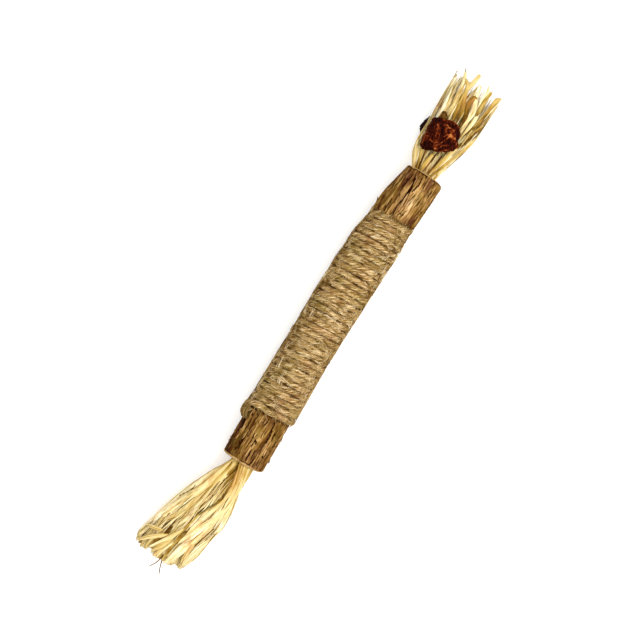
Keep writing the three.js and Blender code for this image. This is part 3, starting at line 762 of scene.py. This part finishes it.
def edge_hair():
    """A fibre of an end turn that has come loose and lies over the bark beside it."""
    side, angle = chances.choice([-1, 1]), chances.uniform(0, 2 * math.pi)
    edge = twine_edge(angle, side)
    x = edge - side * chances.uniform(0.5, 1.7)
    length, lean, bend = chances.uniform(1.8, 4.6), chances.uniform(0.1, 1.1), chances.normal(0, 0.2)
    way = chances.choice([-1, 1])
    lift = chances.uniform(0.0, 0.2)
    path = []
    for i in range(HAIR_STEPS):
        over_bark = smooth(side * (x - edge), -0.9, 0.3)
        path.append(on_winding(x, angle, mix(WOUND_RADIUS - deeper(x), OVER_BARK, over_bark) + lift))
        x += side * length / HAIR_STEPS * math.sin(lean)
        angle += way * length / HAIR_STEPS * math.cos(lean) / WOUND_RADIUS
        lean += bend
    return (*tube(path, chances.uniform(0.05, 0.1)), chances.uniform(0.1, 0.8))


pale_hair, tree, shader = new_material("loose jute fibre", 0.85, 0.01)
base = ramp(tree, number(tree, "tone"), [
    (0.0, "#4f3307"), (0.25, "#80602a"), (0.5, "#a98a50"), (0.75, "#cdaf79"), (1.0, "#f2dcb0")])
tree.links.new(base, shader.inputs["Base Color"])
for name in ("twine_hairs", "more_twine_hairs"):
    strands = [hair for _ in range(TUFTS // 2) for hair in tuft()]
    strands += [hitch_hair() for _ in range(HITCH_HAIRS // 2)]
    strands += [edge_hair() for _ in range(EDGE_HAIRS // 2)]
    fuzz = lofted(name, strands)
    fuzz.data.materials.append(pale_hair)
    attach(fuzz, "root")

# The raffia tassels
# Bunches of dry raffia, the skin of palm leaves torn into strips 1 to 4 mm wide and cut off roughly
# at the far end. Each is glued into its socket, splays out from there and settles on the surface.
NECK_RADIUS = 4.6
STRIP_STEPS = 32
STRIP_ACROSS = 5
STRIP_THICKNESS = 0.16
MOUTH = HALF_LENGTH
FIBRE_STEPS = 9
WISP_STEPS = 10
HEART_RINGS, HEART_SIDES = 22, 36
STRIPS_START = -5.0  # how far from the mouth the strips start, inside the socket
HEART_START = -SOCKET_DEPTH + 0.4
SPLIT_FIBRES = 300
STRAY_STRANDS = 50
STRIPS_APART = 90.0  # how far from one another the strips' lines are drawn, so that each has its own
SETTLES_FROM = 1.6  # the height at which raffia starts to bend along the surface
LOWEST = 0.12

# The edges of each bunch in the photograph: distance from the mouth, +Y edge, -Y edge.
PLAIN_EDGES = [
    (0, 2.4, -6.2), (3.8, 4.2, -6.3), (8.3, 6.7, -6.1), (11.0, 7.8, -6.2), (17.2, 10.6, -7.6),
    (24.0, 12.9, -7.9), (30.6, 14.7, -6.3), (37.3, 16.5, -5.4), (40.8, 17.4, -4.4), (44.6, 16.2, -2.6)]
GALL_EDGES = [
    (0, 2.8, -6.9), (3.6, 5.0, -7.8), (6.3, 5.8, -8.2), (9.9, 6.4, -9.3), (13.4, 6.6, -10.3),
    (17.0, 6.6, -11.0), (20.6, 6.6, -11.4), (27.7, 6.9, -11.7), (34.9, 7.2, -12.0), (42.0, 7.3, -12.2)]

# The middle of each gall fruit, and the space that the raffia leaves it.
UPPER_GALL, LOWER_GALL = (74.8, -0.4, 17.0), (77.3, 1.0, 4.6)
GALL_SPACE_RADIUS, GALL_SPACE_HALF_HEIGHT = 7.4, 4.4


class Bunch:
    """The space that a tassel fills, and the ranges from which its loose strips are drawn.

    The burst says how soon it has its full height, the hump how far its middle rises on the way, and the
    drop how far it sinks to the surface at its end.
    """

    def __init__(self, side, edges, length, half_height, burst, hump, drop,
                 reaches, widths, tip, tones, seed):
        self.side, self.edges, self.length = side, np.array(edges), length
        self.reaches, self.widths, self.tip, self.tones = reaches, widths, tip, tones
        self.half_height, self.burst, self.hump, self.drop = half_height, burst, hump, drop
        self.chances = np.random.default_rng(seed)

    def edges_at(self, out):
        """The edges at +Y and -Y, at a distance from the mouth."""
        return [np.interp(out, self.edges[:, 0], self.edges[:, i]) for i in (1, 2)]

    def kept_in(self, point, spare):
        """Brings a point back inside the bunch's edges."""
        high, low = self.edges_at(self.side * point.x - MOUTH)
        point.y = min(high - spare, max(low + spare, point.y))

    def place(self, out, across, up):
        """A point at a distance from the mouth, from -1 to 1 across the bunch and up it."""
        share = min(1.0, max(0.0, out / self.length))
        high, low = self.edges_at(out)
        tall = mix(NECK_RADIUS, self.half_height, 1 - (1 - share) ** self.burst)
        middle = AXIS_HEIGHT + self.hump * math.sin(math.pi * min(1.3 * share, 1)) - self.drop * share ** 1.4
        y = (high + low) / 2 + (high - low) / 2 * across
        return Vector((self.side * (MOUTH + out), y, middle + tall * up))


PLAIN = Bunch(
    side=-1, edges=PLAIN_EDGES, length=44.8, half_height=5.6, burst=2, hump=0.0, drop=3.2,
    reaches=(0.94, 1.0), widths=(1.4, 3.6), tip=(0.3, 0.9), tones=(0.36, 0.66), seed=11)
WITH_GALLS = Bunch(
    side=1, edges=GALL_EDGES, length=38.5, half_height=5.0, burst=4, hump=1.6, drop=2.6,
    reaches=(0.62, 1.0), widths=(0.8, 2.0), tip=(0.05, 0.4), tones=(0.84, 1.3), seed=53)


def settled(z):
    """The height of raffia, which bends along the surface instead of passing into it."""
    if z > SETTLES_FROM:
        return z
    return max(LOWEST, SETTLES_FROM * math.exp((z - SETTLES_FROM) / SETTLES_FROM) - 0.1)


def clear_of_galls(point, spare):
    """Raffia passes under the upper gall fruit and over the lower one."""
    for (x, y, z), side in ((UPPER_GALL, 1), (LOWER_GALL, -1)):
        away = math.hypot(point.x - x, point.y - y) / GALL_SPACE_RADIUS
        if away < 1:
            face = z - side * ((GALL_SPACE_HALF_HEIGHT + spare) * math.sqrt(1 - away ** 2))
            point.z = min(point.z, face) if side > 0 else max(point.z, face)


def raffia_strip(path, outward, width, roll, curl, tip, tone):
    """The rings of a thin creased strip along a path, its width across the outward direction."""
    rings, along, length = [], [], 0.0
    count = len(path)
    for i in range(count):
        share = i / (count - 1)
        ahead = (path[min(i + 1, count - 1)] - path[max(i - 1, 0)]).normalized()
        across = ahead.cross(outward[i]).normalized()
        out = across.cross(ahead).normalized()
        turn = roll(share)
        flat = across * math.cos(turn) + out * math.sin(turn)
        out = out * math.cos(turn) - across * math.sin(turn)
        if i:
            length += (path[i] - path[i - 1]).length
        wide = width(share) / 2 * mix(1.0, tip, smooth(share, 0.72, 1.0) ** 1.5)
        bend = curl(share)
        waves = 0.16 * noise.noise(Vector((path[i].x * 0.6, path[i].y * 0.9, 0)))
        ring = []
        for face in (1, -1):
            lowest = 0.05 + 0.05 * (face + 1)
            for j in range(STRIP_ACROSS):
                v = (2 * j / (STRIP_ACROSS - 1) - 1) * face
                lift = wide * (bend * (v * v - 0.3) + 0.05 * math.sin(5 * v + 9 * tone)) + waves
                edge = STRIP_THICKNESS / 2 * (1 - 0.6 * v * v)
                point = path[i] + flat * (wide * v) + out * (lift + face * edge)
                ring.append((point.x, point.y, max(lowest, point.z)))
        rings.append(ring)
        along.append(length / MAP_UNIT)
    return np.array(rings), along, tone


def loose_strip(bunch, which, count):
    """A strip somewhere in the bunch: its place is drawn by lot, each lying over the ones before it."""
    lot = bunch.chances
    inner = which % 4 == 3
    radius = lot.uniform(0.15, 0.68) if inner else mix(0.72, 0.99, which / count)
    around = which * math.pi * (3 - math.sqrt(5))
    drift, stray = lot.normal(0, 0.3), lot.normal(0, 0.07)
    reach = lot.uniform(*bunch.reaches) * bunch.length
    widest = lot.uniform(*bunch.widths)
    wave, wave_at, waves = lot.uniform(0.2, 0.9), lot.uniform(0, 6.3), lot.uniform(3, 9)
    path, outward = [], []
    for i in range(STRIP_STEPS):
        out = mix(STRIPS_START, reach, i / (STRIP_STEPS - 1))
        share = max(0.0, out / bunch.length)
        angle = around + drift * share
        across = radius * math.cos(angle) + stray * share * 2
        up = radius * math.sin(angle)
        point = bunch.place(out, across, up)
        swing = wave * share * math.sin(waves * share + wave_at)
        point += Vector((0, swing, 0.1 * swing))
        bunch.kept_in(point, 0.25 + 0.3 * widest * abs(math.sin(angle)))
        if bunch.side > 0:
            clear_of_galls(point, 0.3 + 1.6 * (which * 0.37 % 1.0))
        point.z = settled(point.z)
        path.append(point)
        outward.append(Vector((0, math.cos(angle) * bunch.half_height, math.sin(angle) * 9)).normalized())
    turn, turns = lot.normal(0, 0.3), lot.uniform(1, 5)
    bend, bend_turn = lot.uniform(-0.5, -0.05), lot.uniform(0, 6)
    tone = bunch.tones[1] * lot.uniform(0.64, 0.96) if inner else lot.uniform(*bunch.tones)
    return raffia_strip(
        path, outward,
        lambda s: widest * mix(0.5, 1.0, smooth(s, 0.1, 0.45)) * (1 + 0.15 * math.sin(7 * s + turn)),
        lambda s: turn * (0.3 + s) * math.sin(turns * s + bend_turn),
        lambda s: mix(-0.8, bend, smooth(s, 0.1, 0.4)) + 0.1 * math.sin(9 * s + bend_turn),
        lot.uniform(*bunch.tip), tone)


def curve_through(points, count):
    """Evenly spaced points on a smooth curve through the given ones."""
    points = np.array(points, float)
    padded = np.vstack([2 * points[0] - points[1], points, 2 * points[-1] - points[-2]])
    spans = len(points) - 1
    line = []
    for k in range(count):
        place = min(k / (count - 1) * spans, spans - 1e-6)
        i, t = int(place), place - int(place)
        a, b, c, d = padded[i:i + 4]
        parabola = 2 * b + (c - a) * t + (2 * a - 5 * b + 4 * c - d) * t ** 2
        line.append(0.5 * (parabola + (3 * b - a - 3 * c + d) * t ** 3))
    return line


def top_strip(bunch, points, width, tone, layer, tip, curl):
    """A strip on top of the bunch, where the photograph shows one, through (x, y) points in mm."""
    path, outward = [], []
    lot = bunch.chances
    from_mouth = bunch.side * points[0][0] < MOUTH + 3
    first_width = 0.55 if from_mouth else 0.1
    for i, (x, y) in enumerate(curve_through(points, STRIP_STEPS)):
        out = bunch.side * x - MOUTH
        high, low = bunch.edges_at(out)
        across = max(-0.97, min(0.97, (y - (high + low) / 2) / ((high - low) / 2)))
        point = bunch.place(out, 0, 0.97 * math.sqrt(1 - across ** 2))
        point.y = y
        point.z += 0.25 * layer
        if not from_mouth:
            tucked = 1 - smooth(i, 0, 0.25 * STRIP_STEPS)
            point.z -= 0.9 * tucked * 0.25 * layer + 0.5 * (1 - smooth(i, 0, 4))
        bunch.kept_in(point, 0.3 * width)
        if bunch.side > 0:
            clear_of_galls(point, 0.3 + 0.1 * layer)
        point.z = settled(point.z)
        path.append(point)
        outward.append(Vector((0, 0.5 * across, 1)).normalized())
    turn, phase = lot.normal(0, 0.15), lot.uniform(0, 6)
    return raffia_strip(
        path, outward,
        lambda s: width * mix(first_width, 1.0, smooth(s, 0.0, 0.35)) * (1 + 0.12 * math.sin(8 * s + phase)),
        lambda s: turn * math.sin(4 * s + phase),
        lambda s: 0.1 * math.sin(9 * s + phase) - curl, tip, tone)


def wisp(bunch, points, radius, tone):
    """A hair of raffia on the bunch, through (x, y) points."""
    path = []
    for x, y in curve_through(points, WISP_STEPS):
        point = bunch.place(bunch.side * x - MOUTH, 0, 0.9)
        point.y = y
        point.z = settled(point.z)
        path.append(np.array(point))
    return (*tube(path, radius, 0.75), tone)


def split_fibre(bunch, tone):
    """A thin fibre that has split off a strip."""
    lot = bunch.chances
    angle, radius = lot.uniform(-0.5, math.pi + 0.5), lot.uniform(0.88, 1.05)
    start = lot.uniform(0.1, 0.7) * bunch.length
    end = min(start + lot.uniform(8, 22), bunch.length * lot.uniform(0.95, 1.07))
    stray, swing = lot.normal(0, 0.12), lot.normal(0, 0.5)
    path = []
    for i in range(FIBRE_STEPS):
        share = i / (FIBRE_STEPS - 1)
        point = bunch.place(mix(start, end, share), radius * math.cos(angle) + stray * share,
                            radius * math.sin(angle) + 0.5 * stray * share)
        point += Vector((0, swing * math.sin(3 * share), abs(swing) * share))
        bunch.kept_in(point, 0.0)
        if bunch.side > 0:
            clear_of_galls(point, 0.4)
        point.z = settled(point.z)
        path.append(np.array(point))
    return (*tube(path, lot.uniform(0.06, 0.14)), tone)


def heart(bunch, heart_to):
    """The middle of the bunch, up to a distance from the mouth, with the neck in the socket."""
    rings, along = [], []
    for i in range(HEART_RINGS):
        out = mix(HEART_START, heart_to, i / (HEART_RINGS - 1))
        share = max(0.0, out / heart_to)
        ring = []
        for j in range(HEART_SIDES):
            angle = -2 * math.pi * j / HEART_SIDES * bunch.side
            flute = 0.9 - 0.1 * math.sin(9 * angle + 3 * share) - 0.08 * math.sin(23 * angle)
            flute *= mix(1.0, 0.62, smooth(share, 0, 0.5)) * (1 - smooth(share, 0.75, 1.0) * 0.8)
            point = bunch.place(out, flute * math.cos(angle), flute * math.sin(angle))
            if bunch.side > 0:
                clear_of_galls(point, 1.6)
            point.z = settled(point.z) if out > 0 else point.z
            ring.append(tuple(point))
        rings.append(ring)
        along.append(out / MAP_UNIT)
    return np.array(rings), along, 0.5


def stray_strand(bunch):
    """A narrow strand on top of the bunch that runs a little across the others."""
    lot = bunch.chances
    start = lot.uniform(0.04, 0.6) * bunch.length
    end = min(start + lot.uniform(12, 24), bunch.length * lot.uniform(0.93, 1.0))
    across, drift = lot.uniform(-0.85, 0.85), lot.normal(0, 0.16)
    points = []
    for i in range(4):
        share = i / 3
        point = bunch.place(mix(start, end, share), across + drift * share, 0)
        points.append((point.x, point.y))
    # One in five is dark: partly real dark strands, partly painted shade of the gaps between strips.
    tone = lot.uniform(0.15, 0.35) if lot.random() < 0.2 else lot.uniform(0.45, 1.0)
    width, layer, curl = lot.uniform(0.25, 0.3 + 0.4 * tone), lot.uniform(1, 5), lot.uniform(0, 0.5)
    return top_strip(bunch, points, width, tone, layer, 0.3, curl)


def tassel(name, bunch, strips, heart_to, laid, wisps):
    """All the raffia of one tassel as one mesh."""
    strands = [heart(bunch, heart_to)]
    strands += [loose_strip(bunch, n, strips) for n in range(strips)]
    strands += [top_strip(bunch, *strip) for strip in laid]
    for n in range(SPLIT_FIBRES):
        # Every third split fibre is dark: partly real dark fibres, partly dark strands standing in for the
        # shade in the gaps between strips.
        tone = 0.3 if n % 3 == 0 else bunch.chances.uniform(0.4, 1.0)
        strands.append(split_fibre(bunch, tone))
    strands += [stray_strand(bunch) for _ in range(STRAY_STRANDS)]
    strands += [wisp(bunch, *hair) for hair in wisps]
    return lofted(name, strands)


# The strips that lie uppermost in the photograph: points in mm, width, tone, layer, how wide the tip is
# beside the rest, and curl. The wisps, which are hairs of raffia: points in mm, radius, tone.
# The narrow strips of low tone are partly dark strips, partly painted shade of the gaps between the others.
PLAIN_LAID = [
    ([(-60, 2.6), (-69.8, 7.0), (-77.6, 9.8), (-87.8, 13.0), (-98.0, 16.2), (-103.0, 17.2)],
     3.0, 0.77, 1, 0.5, 0.5),
    ([(-60, 2.0), (-71.0, 6.4), (-78.4, 8.6), (-83.6, 10.6), (-91.0, 13.2), (-97.5, 16.0)],
     3.4, 0.79, 2, 0.6, 0.4),
    ([(-66.0, 5.6), (-74.9, 8.2), (-78.3, 8.9), (-81.7, 10.8), (-84.8, 12.2)], 1.3, 0.12, 3, 0.4, 0.5),
    ([(-59, 1.2), (-69.0, 4.2), (-75.6, 6.1), (-81.0, 8.6), (-86.0, 10.6), (-92.0, 12.4)],
     3.2, 0.67, 3, 0.7, 0.3),
    ([(-59, 1.0), (-72.5, 3.6), (-81.0, 6.2), (-87.1, 7.8), (-92.6, 11.8), (-96.0, 12.6)],
     2.6, 0.45, 2, 0.5, 0.6),
    ([(-59, 0.6), (-74.2, 2.4), (-84.4, 4.4), (-92.9, 6.2), (-99.0, 9.8)], 3.4, 0.71, 1, 0.5, 0.3),
    ([(-59, 0.2), (-67.4, -1.9), (-74.2, -2.2), (-79.3, -0.5), (-84.4, 1.9), (-92.6, 4.0), (-97.0, 4.6)],
     0.9, 0.25, 4, 0.5, 0.7),
    ([(-76.0, -1.8), (-78.6, -0.7), (-81.5, 0.9), (-84.4, 1.9)], 0.6, -0.1, 5.5, 0.3, 0.6),
    ([(-60, -4.6), (-72, -6.0), (-84, -7.4), (-94, -5.4), (-100, -4.2), (-105.2, -3.0)],
     2.6, 0.82, 1, 0.6, 0.4),
    ([(-60, 1.6), (-74, 7.6), (-88, 13.6), (-97, 16.2), (-104.2, 16.6)], 2.4, 0.77, 0.5, 0.6, 0.4),
    ([(-60, -0.6), (-70.5, -3.2), (-79.0, -2.0), (-86.0, 0.4), (-93.5, 2.4), (-101.0, 6.5), (-105.5, 8.2)],
     2.2, 0.61, 3, 0.4, 0.4),
    ([(-88.0, 2.4), (-95.3, 5.9), (-99.5, 8.4), (-103.3, 11.0)], 1.5, 0.82, 6, 0.5, 0.2),
    ([(-60, -1.6), (-71.0, -3.9), (-80.8, -4.0), (-88.0, -0.6), (-94.5, 2.4), (-100.0, 5.6), (-105.6, 7.0)],
     1.8, 0.6, 4, 0.3, 0.5),
    ([(-60, -2.6), (-70.0, -4.6), (-80.0, -4.2), (-90.5, -1.2), (-98.0, 1.4), (-105.8, 3.6)],
     2.6, 0.79, 3, 0.4, 0.4),
    ([(-60, -3.4), (-72.0, -5.4), (-84.4, -3.8), (-92.0, -1.8), (-100.0, 0.6), (-105.6, 2.4)],
     2.2, 0.66, 4, 0.4, 0.5),
    ([(-60, -4.2), (-69.0, -5.0), (-78.3, -6.6), (-87.8, -6.6), (-95.3, -3.8), (-103.8, -2.3)],
     3.0, 0.82, 2, 0.5, 0.4),
    ([(-72.0, -5.4), (-78.3, -6.9), (-84.4, -7.5), (-90.0, -6.6), (-96.0, -4.6)], 0.9, 0.71, 3, 0.4, 0.4),
    ([(-92.0, 7.4), (-96.5, 9.0), (-102.6, 11.2)], 1.6, 0.3, 4, 0.4, 0.5),
    ([(-95.6, 8.8), (-96.6, 12.9), (-97.6, 16.2)], 1.4, 0.79, 6, 0.3, 0.3),
    ([(-94.5, 5.6), (-97.8, 9.8), (-101.0, 13.6), (-103.6, 15.8)], 1.7, 0.66, 5, 0.5, 0.4),
    ([(-93.0, 5.0), (-99.0, 6.6), (-104.2, 9.6)], 1.5, 0.6, 5, 0.4, 0.3),
    ([(-88.0, 1.6), (-97.0, 3.8), (-105.2, 4.8)], 1.4, 0.35, 5, 0.4, 0.5),
    ([(-92.0, -2.0), (-98.0, -1.6), (-104.0, -2.4)], 1.8, 0.77, 5, 0.5, 0.4),
]
PLAIN_WISPS = [
    ([(-92, 6.4), (-100, 5.0), (-106.2, 5.7), (-109.4, 7.4)], 0.3, 0.36),
    ([(-92, 4.6), (-100, 5.4), (-106.2, 4.4), (-110.2, 2.9)], 0.3, 0.36),
    ([(-90, -5.2), (-97, -2.6), (-104.5, -1.6)], 0.09, 0.2),
]
# Here too the narrow strips of low tone are partly dark strips, partly painted shade of the gaps.
GALL_LAID = [
    ([(60, 2.4), (64.0, 4.2), (68.0, 6.2), (74.0, 7.2), (80.0, 6.9), (88.0, 6.8), (97.6, 7.4)],
     1.8, 0.55, 1, 0.3, 0.5),
    ([(60, 1.8), (67.0, 4.8), (73.0, 6.6), (81.2, 6.3), (88.7, 6.8), (94.1, 6.3), (96.4, 6.6)],
     2.6, 0.85, 2, 0.5, 0.4),
    ([(60, 1.0), (67.0, 2.8), (73.0, 4.2), (84.4, 3.4), (89.8, 4.5), (93.4, 5.0)], 2.0, 0.45, 2, 0.5, 0.5),
    ([(80.0, 2.4), (84.0, 1.6), (90.5, 2.4), (96.9, 3.4), (101.4, 5.3)], 1.5, 0.75, 4, 0.12, 0.4),
    ([(77.0, 0.4), (81.6, -0.8), (87.0, 0.2), (92.3, 0.7), (96.5, 0.2), (101.1, -0.7)],
     1.7, 0.38, 5, 0.8, 0.3),
    ([(79.0, -2.6), (85.5, -2.0), (89.4, -0.9), (95.5, 1.3), (97.3, 3.0)], 1.4, 0.4, 6, 0.5, 0.4),
    ([(76.0, -3.8), (84.4, -4.0), (89.0, -2.8), (92.4, -3.1), (93.4, -4.2)], 1.9, 0.22, 5, 0.4, 0.5),
    ([(79.0, -4.6), (84.0, -5.0), (88.7, -5.3), (93.6, -3.6), (98.0, -2.6)], 1.9, 0.95, 4, 0.6, 0.4),
    ([(76.0, -5.6), (82.0, -7.0), (88.0, -7.3), (93.0, -6.2), (97.0, -6.4), (100.2, -5.0)],
     1.7, 0.95, 5, 0.12, 0.3),
    ([(84.0, -7.4), (93.0, -6.9), (97.8, -7.3)], 1.4, 0.42, 6, 0.8, 0.2),
    ([(70.0, -4.0), (77.0, -8.6), (83.0, -10.0), (86.0, -11.0)], 1.5, 0.2, 4, 0.4, 0.6),
    ([(74.0, -5.0), (84.8, -8.9), (90.5, -9.8), (96.2, -10.4), (98.2, -11.6)], 1.6, 0.25, 5, 0.5, 0.5),
    ([(60, -4.6), (68.9, -7.4), (76.0, -9.8), (83.4, -11.4), (90.5, -11.8), (98.8, -12.1)],
     1.8, 0.5, 1, 0.3, 0.4),
    ([(60, 0.4), (67.3, 1.6), (71.0, 1.4)], 0.6, 0.1, 2, 0.5, 0.6),
    ([(60, -1.4), (69.1, -2.4), (73.0, -3.6)], 0.7, 0.08, 2, 0.5, 0.6),
    ([(61, -3.4), (64.8, -3.8), (70.9, -4.6), (74.5, -7.0)], 0.7, 0.1, 3, 0.5, 0.6),
    ([(60, -3.0), (66.0, -5.0), (72.0, -6.4), (80.0, -9.0)], 1.6, 0.62, 2, 0.5, 0.3),
    ([(60, -0.4), (66.0, -0.8), (72.0, -2.0)], 1.6, 0.6, 3, 0.5, 0.4),
]
GALL_WISPS = [
    ([(84, 5.6), (91, 6.6), (98.5, 7.3)], 0.10, 0.3),
    ([(90, -6.8), (95.5, -6.8), (100.2, -5.1)], 0.16, 0.1),
    ([(84, -6.2), (90, -7.6), (96, -7.0)], 0.12, 0.1),
    ([(88, 2.0), (96.5, 3.3), (101.5, 5.4)], 0.16, 0.1),
]

raffia, tree, shader = new_material("dry raffia", 0.6, 0.03)
strand_place = node(tree, "UVMap", uv_map="strand_map").outputs["UV"]
along = node(tree, "SeparateXYZ", {0: strand_place}).outputs[0]
apart = multiplied(tree, number(tree, "chance"), STRIPS_APART)
apart = node(tree, "CombineXYZ", {2: apart}).outputs[0]
own_place = node(tree, "VectorMath", {0: strand_place, 1: apart}, operation="ADD").outputs[0]
lines = spots(tree, own_place, (0.8, 13, 1), 4, 0.65)
blotches = spots(tree, own_place, (1.6, 3, 1), 3, 0.6)
shade = added(tree, number(tree, "tone"), ranged(tree, blotches, 0.35, 0.65, -0.14, 0.14))
# Low tone in the neck: partly glue, partly painted shade where the strips crowd into the socket.
shade = added(tree, shade, ranged(tree, along, 0.4, 2.4, -0.29, 0.04))  # darker in the neck
base = ramp(tree, shade, [
    (0.0, "#4f3305"), (0.15, "#86651f"), (0.3, "#b4964c"),
    (0.5, "#cdb67c"), (0.72, "#ddcb98"), (1.0, "#eee3c2")])
line_tones = ramp(tree, lines, [(0.35, "#97702a"), (0.42, "#e0cb98"), (0.48, "#ffffff")])
base = blended(tree, 0.9, base, line_tones, "MULTIPLY")
place = node(tree, "TexCoord").outputs["Object"]
patches = spots(tree, place, (130, 260, 260), 3, 0.6)
base = blended(tree, ranged(tree, patches, 0.55, 0.68, 0.0, 0.5), base, colour("#a8773c"))
base = blended(tree, ranged(tree, patches, 0.45, 0.33, 0.0, 0.4), base, colour("#b9a866"))
tree.links.new(base, shader.inputs["Base Color"])
rough_surface(tree, shader, lines, 0.6, 0.3)

for name, node_name, bunch, strips, heart_to, laid, wisps in (
        ("plain_tassel", "raffia_tassel_plain", PLAIN, 125, 26.0, PLAIN_LAID, PLAIN_WISPS),
        ("gall_tassel", "raffia_tassel_with_galls", WITH_GALLS, 105, 20.0, GALL_LAID, GALL_WISPS)):
    bundle = tassel(name, bunch, strips, heart_to, laid, wisps)
    bundle.data.materials.append(raffia)
    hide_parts(node_name)
    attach(bundle, "root")

# The gall fruits
# Dried silvervine fruits that midges have swollen into wrinkled lumps about 13 mm across, with a stub
# of stem. One is glued on the upper side of the tassel and one under it.
GALL_HALF_HEIGHT = 3.95
GALL_CUTS, STUB_SIDES, STUB_CUTS = 6, 20, 8
PATTERN_FROM, PATTERN_LENGTH, PATTERN_RADIUS = 1.05, 0.8, 0.2  # the stub beside a ball of radius 1
STUB_FROM = 5.2
STUB_ALONG, STUB_ACROSS = 4.7, 6.0  # mm for each unit of the pattern

# The fruit's outline from above: direction in degrees, radius in mm.
OUTLINE = [
    (-180, 5.8), (-146, 5.3), (-127, 5.9), (-109, 6.6), (-90, 6.7), (-68, 6.1), (-48, 6.4),
    (-30, 6.7), (-6, 6.3), (14, 6.3), (38, 7.1), (53, 6.8), (76, 5.9), (107, 5.9),
    (130, 7.0), (143, 7.9), (155, 7.9), (164, 7.2), (180, 5.8)]


def wrinkle(place):
    """1 on the crest of a wrinkle and 0 between the wrinkles."""
    return smooth(1 - 2.6 * abs(noise.noise(place)), 0.0, 1.0)


def gall_fruit(name, place, turned, seed, stub_to, painted_shadow):
    """A wrinkled fruit at a place, its outline turned by some degrees and its stub pointing to others, its
    colour lowered by an amount of painted shadow.
    """
    angle = math.radians(stub_to)
    bpy.ops.object.select_all(action="DESELECT")
    bpy.ops.mesh.primitive_ico_sphere_add(subdivisions=GALL_CUTS, radius=1)
    fruit = bpy.context.object
    fruit.name = name
    bpy.ops.object.mode_set(mode="EDIT")
    bpy.ops.mesh.select_all(action="DESELECT")
    bpy.ops.mesh.primitive_cylinder_add(
        vertices=STUB_SIDES, radius=PATTERN_RADIUS, depth=PATTERN_LENGTH,
        location=(PATTERN_FROM + PATTERN_LENGTH / 2, 0, 0), rotation=(0, math.pi / 2, 0))
    select(fruit, "EDGE", lambda edge: min(v.co.x for v in edge.verts) > 1.0 and edge.calc_length() > 0.5)
    bpy.ops.mesh.subdivide(number_cuts=STUB_CUTS)
    bpy.ops.object.mode_set(mode="OBJECT")
    ridges_and_painted_light, stems = [], []
    for vertex in fruit.data.vertices:
        p = vertex.co.copy()
        stub = p.length > 1.04
        if stub:
            out = p.x - PATTERN_FROM
            ribs = 1 + 0.16 * math.sin(5 * math.atan2(p.z, p.y)) + 0.15 * noise.noise(p * 6)
            ribs *= 1 - 0.4 * smooth(out, 0.5, 0.8)
            x = STUB_FROM + STUB_ALONG * out
            y = p.y * STUB_ACROSS * ribs * (1.1 - 0.25 * out)
            z = p.z * STUB_ACROSS * ribs * (1.1 - 0.3 * out)
            aside = x * math.sin(angle) + y * math.cos(angle)
            point = Vector((x * math.cos(angle) - y * math.sin(angle), aside, z))
            ridge_and_painted_light = 0.35 + 0.5 * noise.noise(p * 5)
        else:
            degrees = (math.degrees(math.atan2(p.y, p.x)) - turned + 180) % 360 - 180
            girth = np.interp(degrees, *zip(*OUTLINE))
            warp = p + 0.35 * noise.noise_vector(p * 1.7 + Vector((seed, 0, 0)))
            fold = wrinkle(warp * 2.3 + Vector((0, seed, 0)))
            crease = wrinkle(warp * 5.6 + Vector((0, 0, seed)))
            fine = noise.fractal(p * 12, 0.8, 2.0, 3)
            # The crests are paler, partly the skin's own colour and partly painted highlight, and the
            # creases carry painted shade; the slope in x and y is painted light from the lamp's side, and
            # the amount taken off at the end is painted shadow.
            ridge_and_painted_light = 0.35 * fold + 0.45 * crease + 0.2 * fine + 0.04 * (p.x - 0.6 * p.y) - painted_shadow
            swelling = noise.noise(p * 1.4 + Vector((seed, seed, 0)))
            height = 0.5 * swelling + 0.5 * fold + 0.34 * crease + 0.1 * fine - 0.5
            reach = girth + height
            point = Vector((p.x * reach, p.y * reach, p.z * (GALL_HALF_HEIGHT + 0.9 * height)))
        vertex.co = (point + Vector(place)) * MM
        ridges_and_painted_light.append(ridge_and_painted_light)
        stems.append(float(stub))
    set_numbers(fruit, "ridge_and_painted_light", ridges_and_painted_light)
    set_numbers(fruit, "stem", stems)
    bpy.ops.object.shade_smooth()
    return fruit


gall_skin, tree, shader = new_material("dried gall fruit skin", 0.7, 0.03)
place = node(tree, "TexCoord").outputs["Object"]
clouds = spots(tree, place, (190, 190, 190), 3, 0.5)
pores = spots(tree, place, (1400, 1400, 1400), 3, 0.6)
# Painted shade in the creases up to painted highlight on the crests, over the skin's own red-brown.
ridge_and_painted_light = added(tree, number(tree, "ridge_and_painted_light"), ranged(tree, clouds, 0.35, 0.65, -0.22, 0.14))
base = ramp(tree, ridge_and_painted_light, [
    (0.15, "#120100"), (0.4, "#2c0600"), (0.6, "#451102"), (0.76, "#6a2c0c"), (0.95, "#a5622f")])
base = blended(tree, number(tree, "stem"), base, ramp(tree, pores, [(0.4, "#2a1506"), (0.6, "#654417")]))
tree.links.new(base, shader.inputs["Base Color"])
rough_surface(tree, shader, pores, 0.3, 0.15)
# The lower fruit lies under the tassel, and its colour is given painted shadow.
for name, node_name, place, turned, seed, stub_to, painted_shadow in (
        ("upper_gall", "gall_fruit_upper", UPPER_GALL, 0, 3.3, 25, 0.0),
        ("lower_gall", "gall_fruit_lower", LOWER_GALL, 68, 8.1, 6, 0.35)):
    fruit = gall_fruit(name, place, turned, seed, stub_to, painted_shadow)
    fruit.data.materials.append(gall_skin)
    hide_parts(node_name)
    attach(fruit, "root")
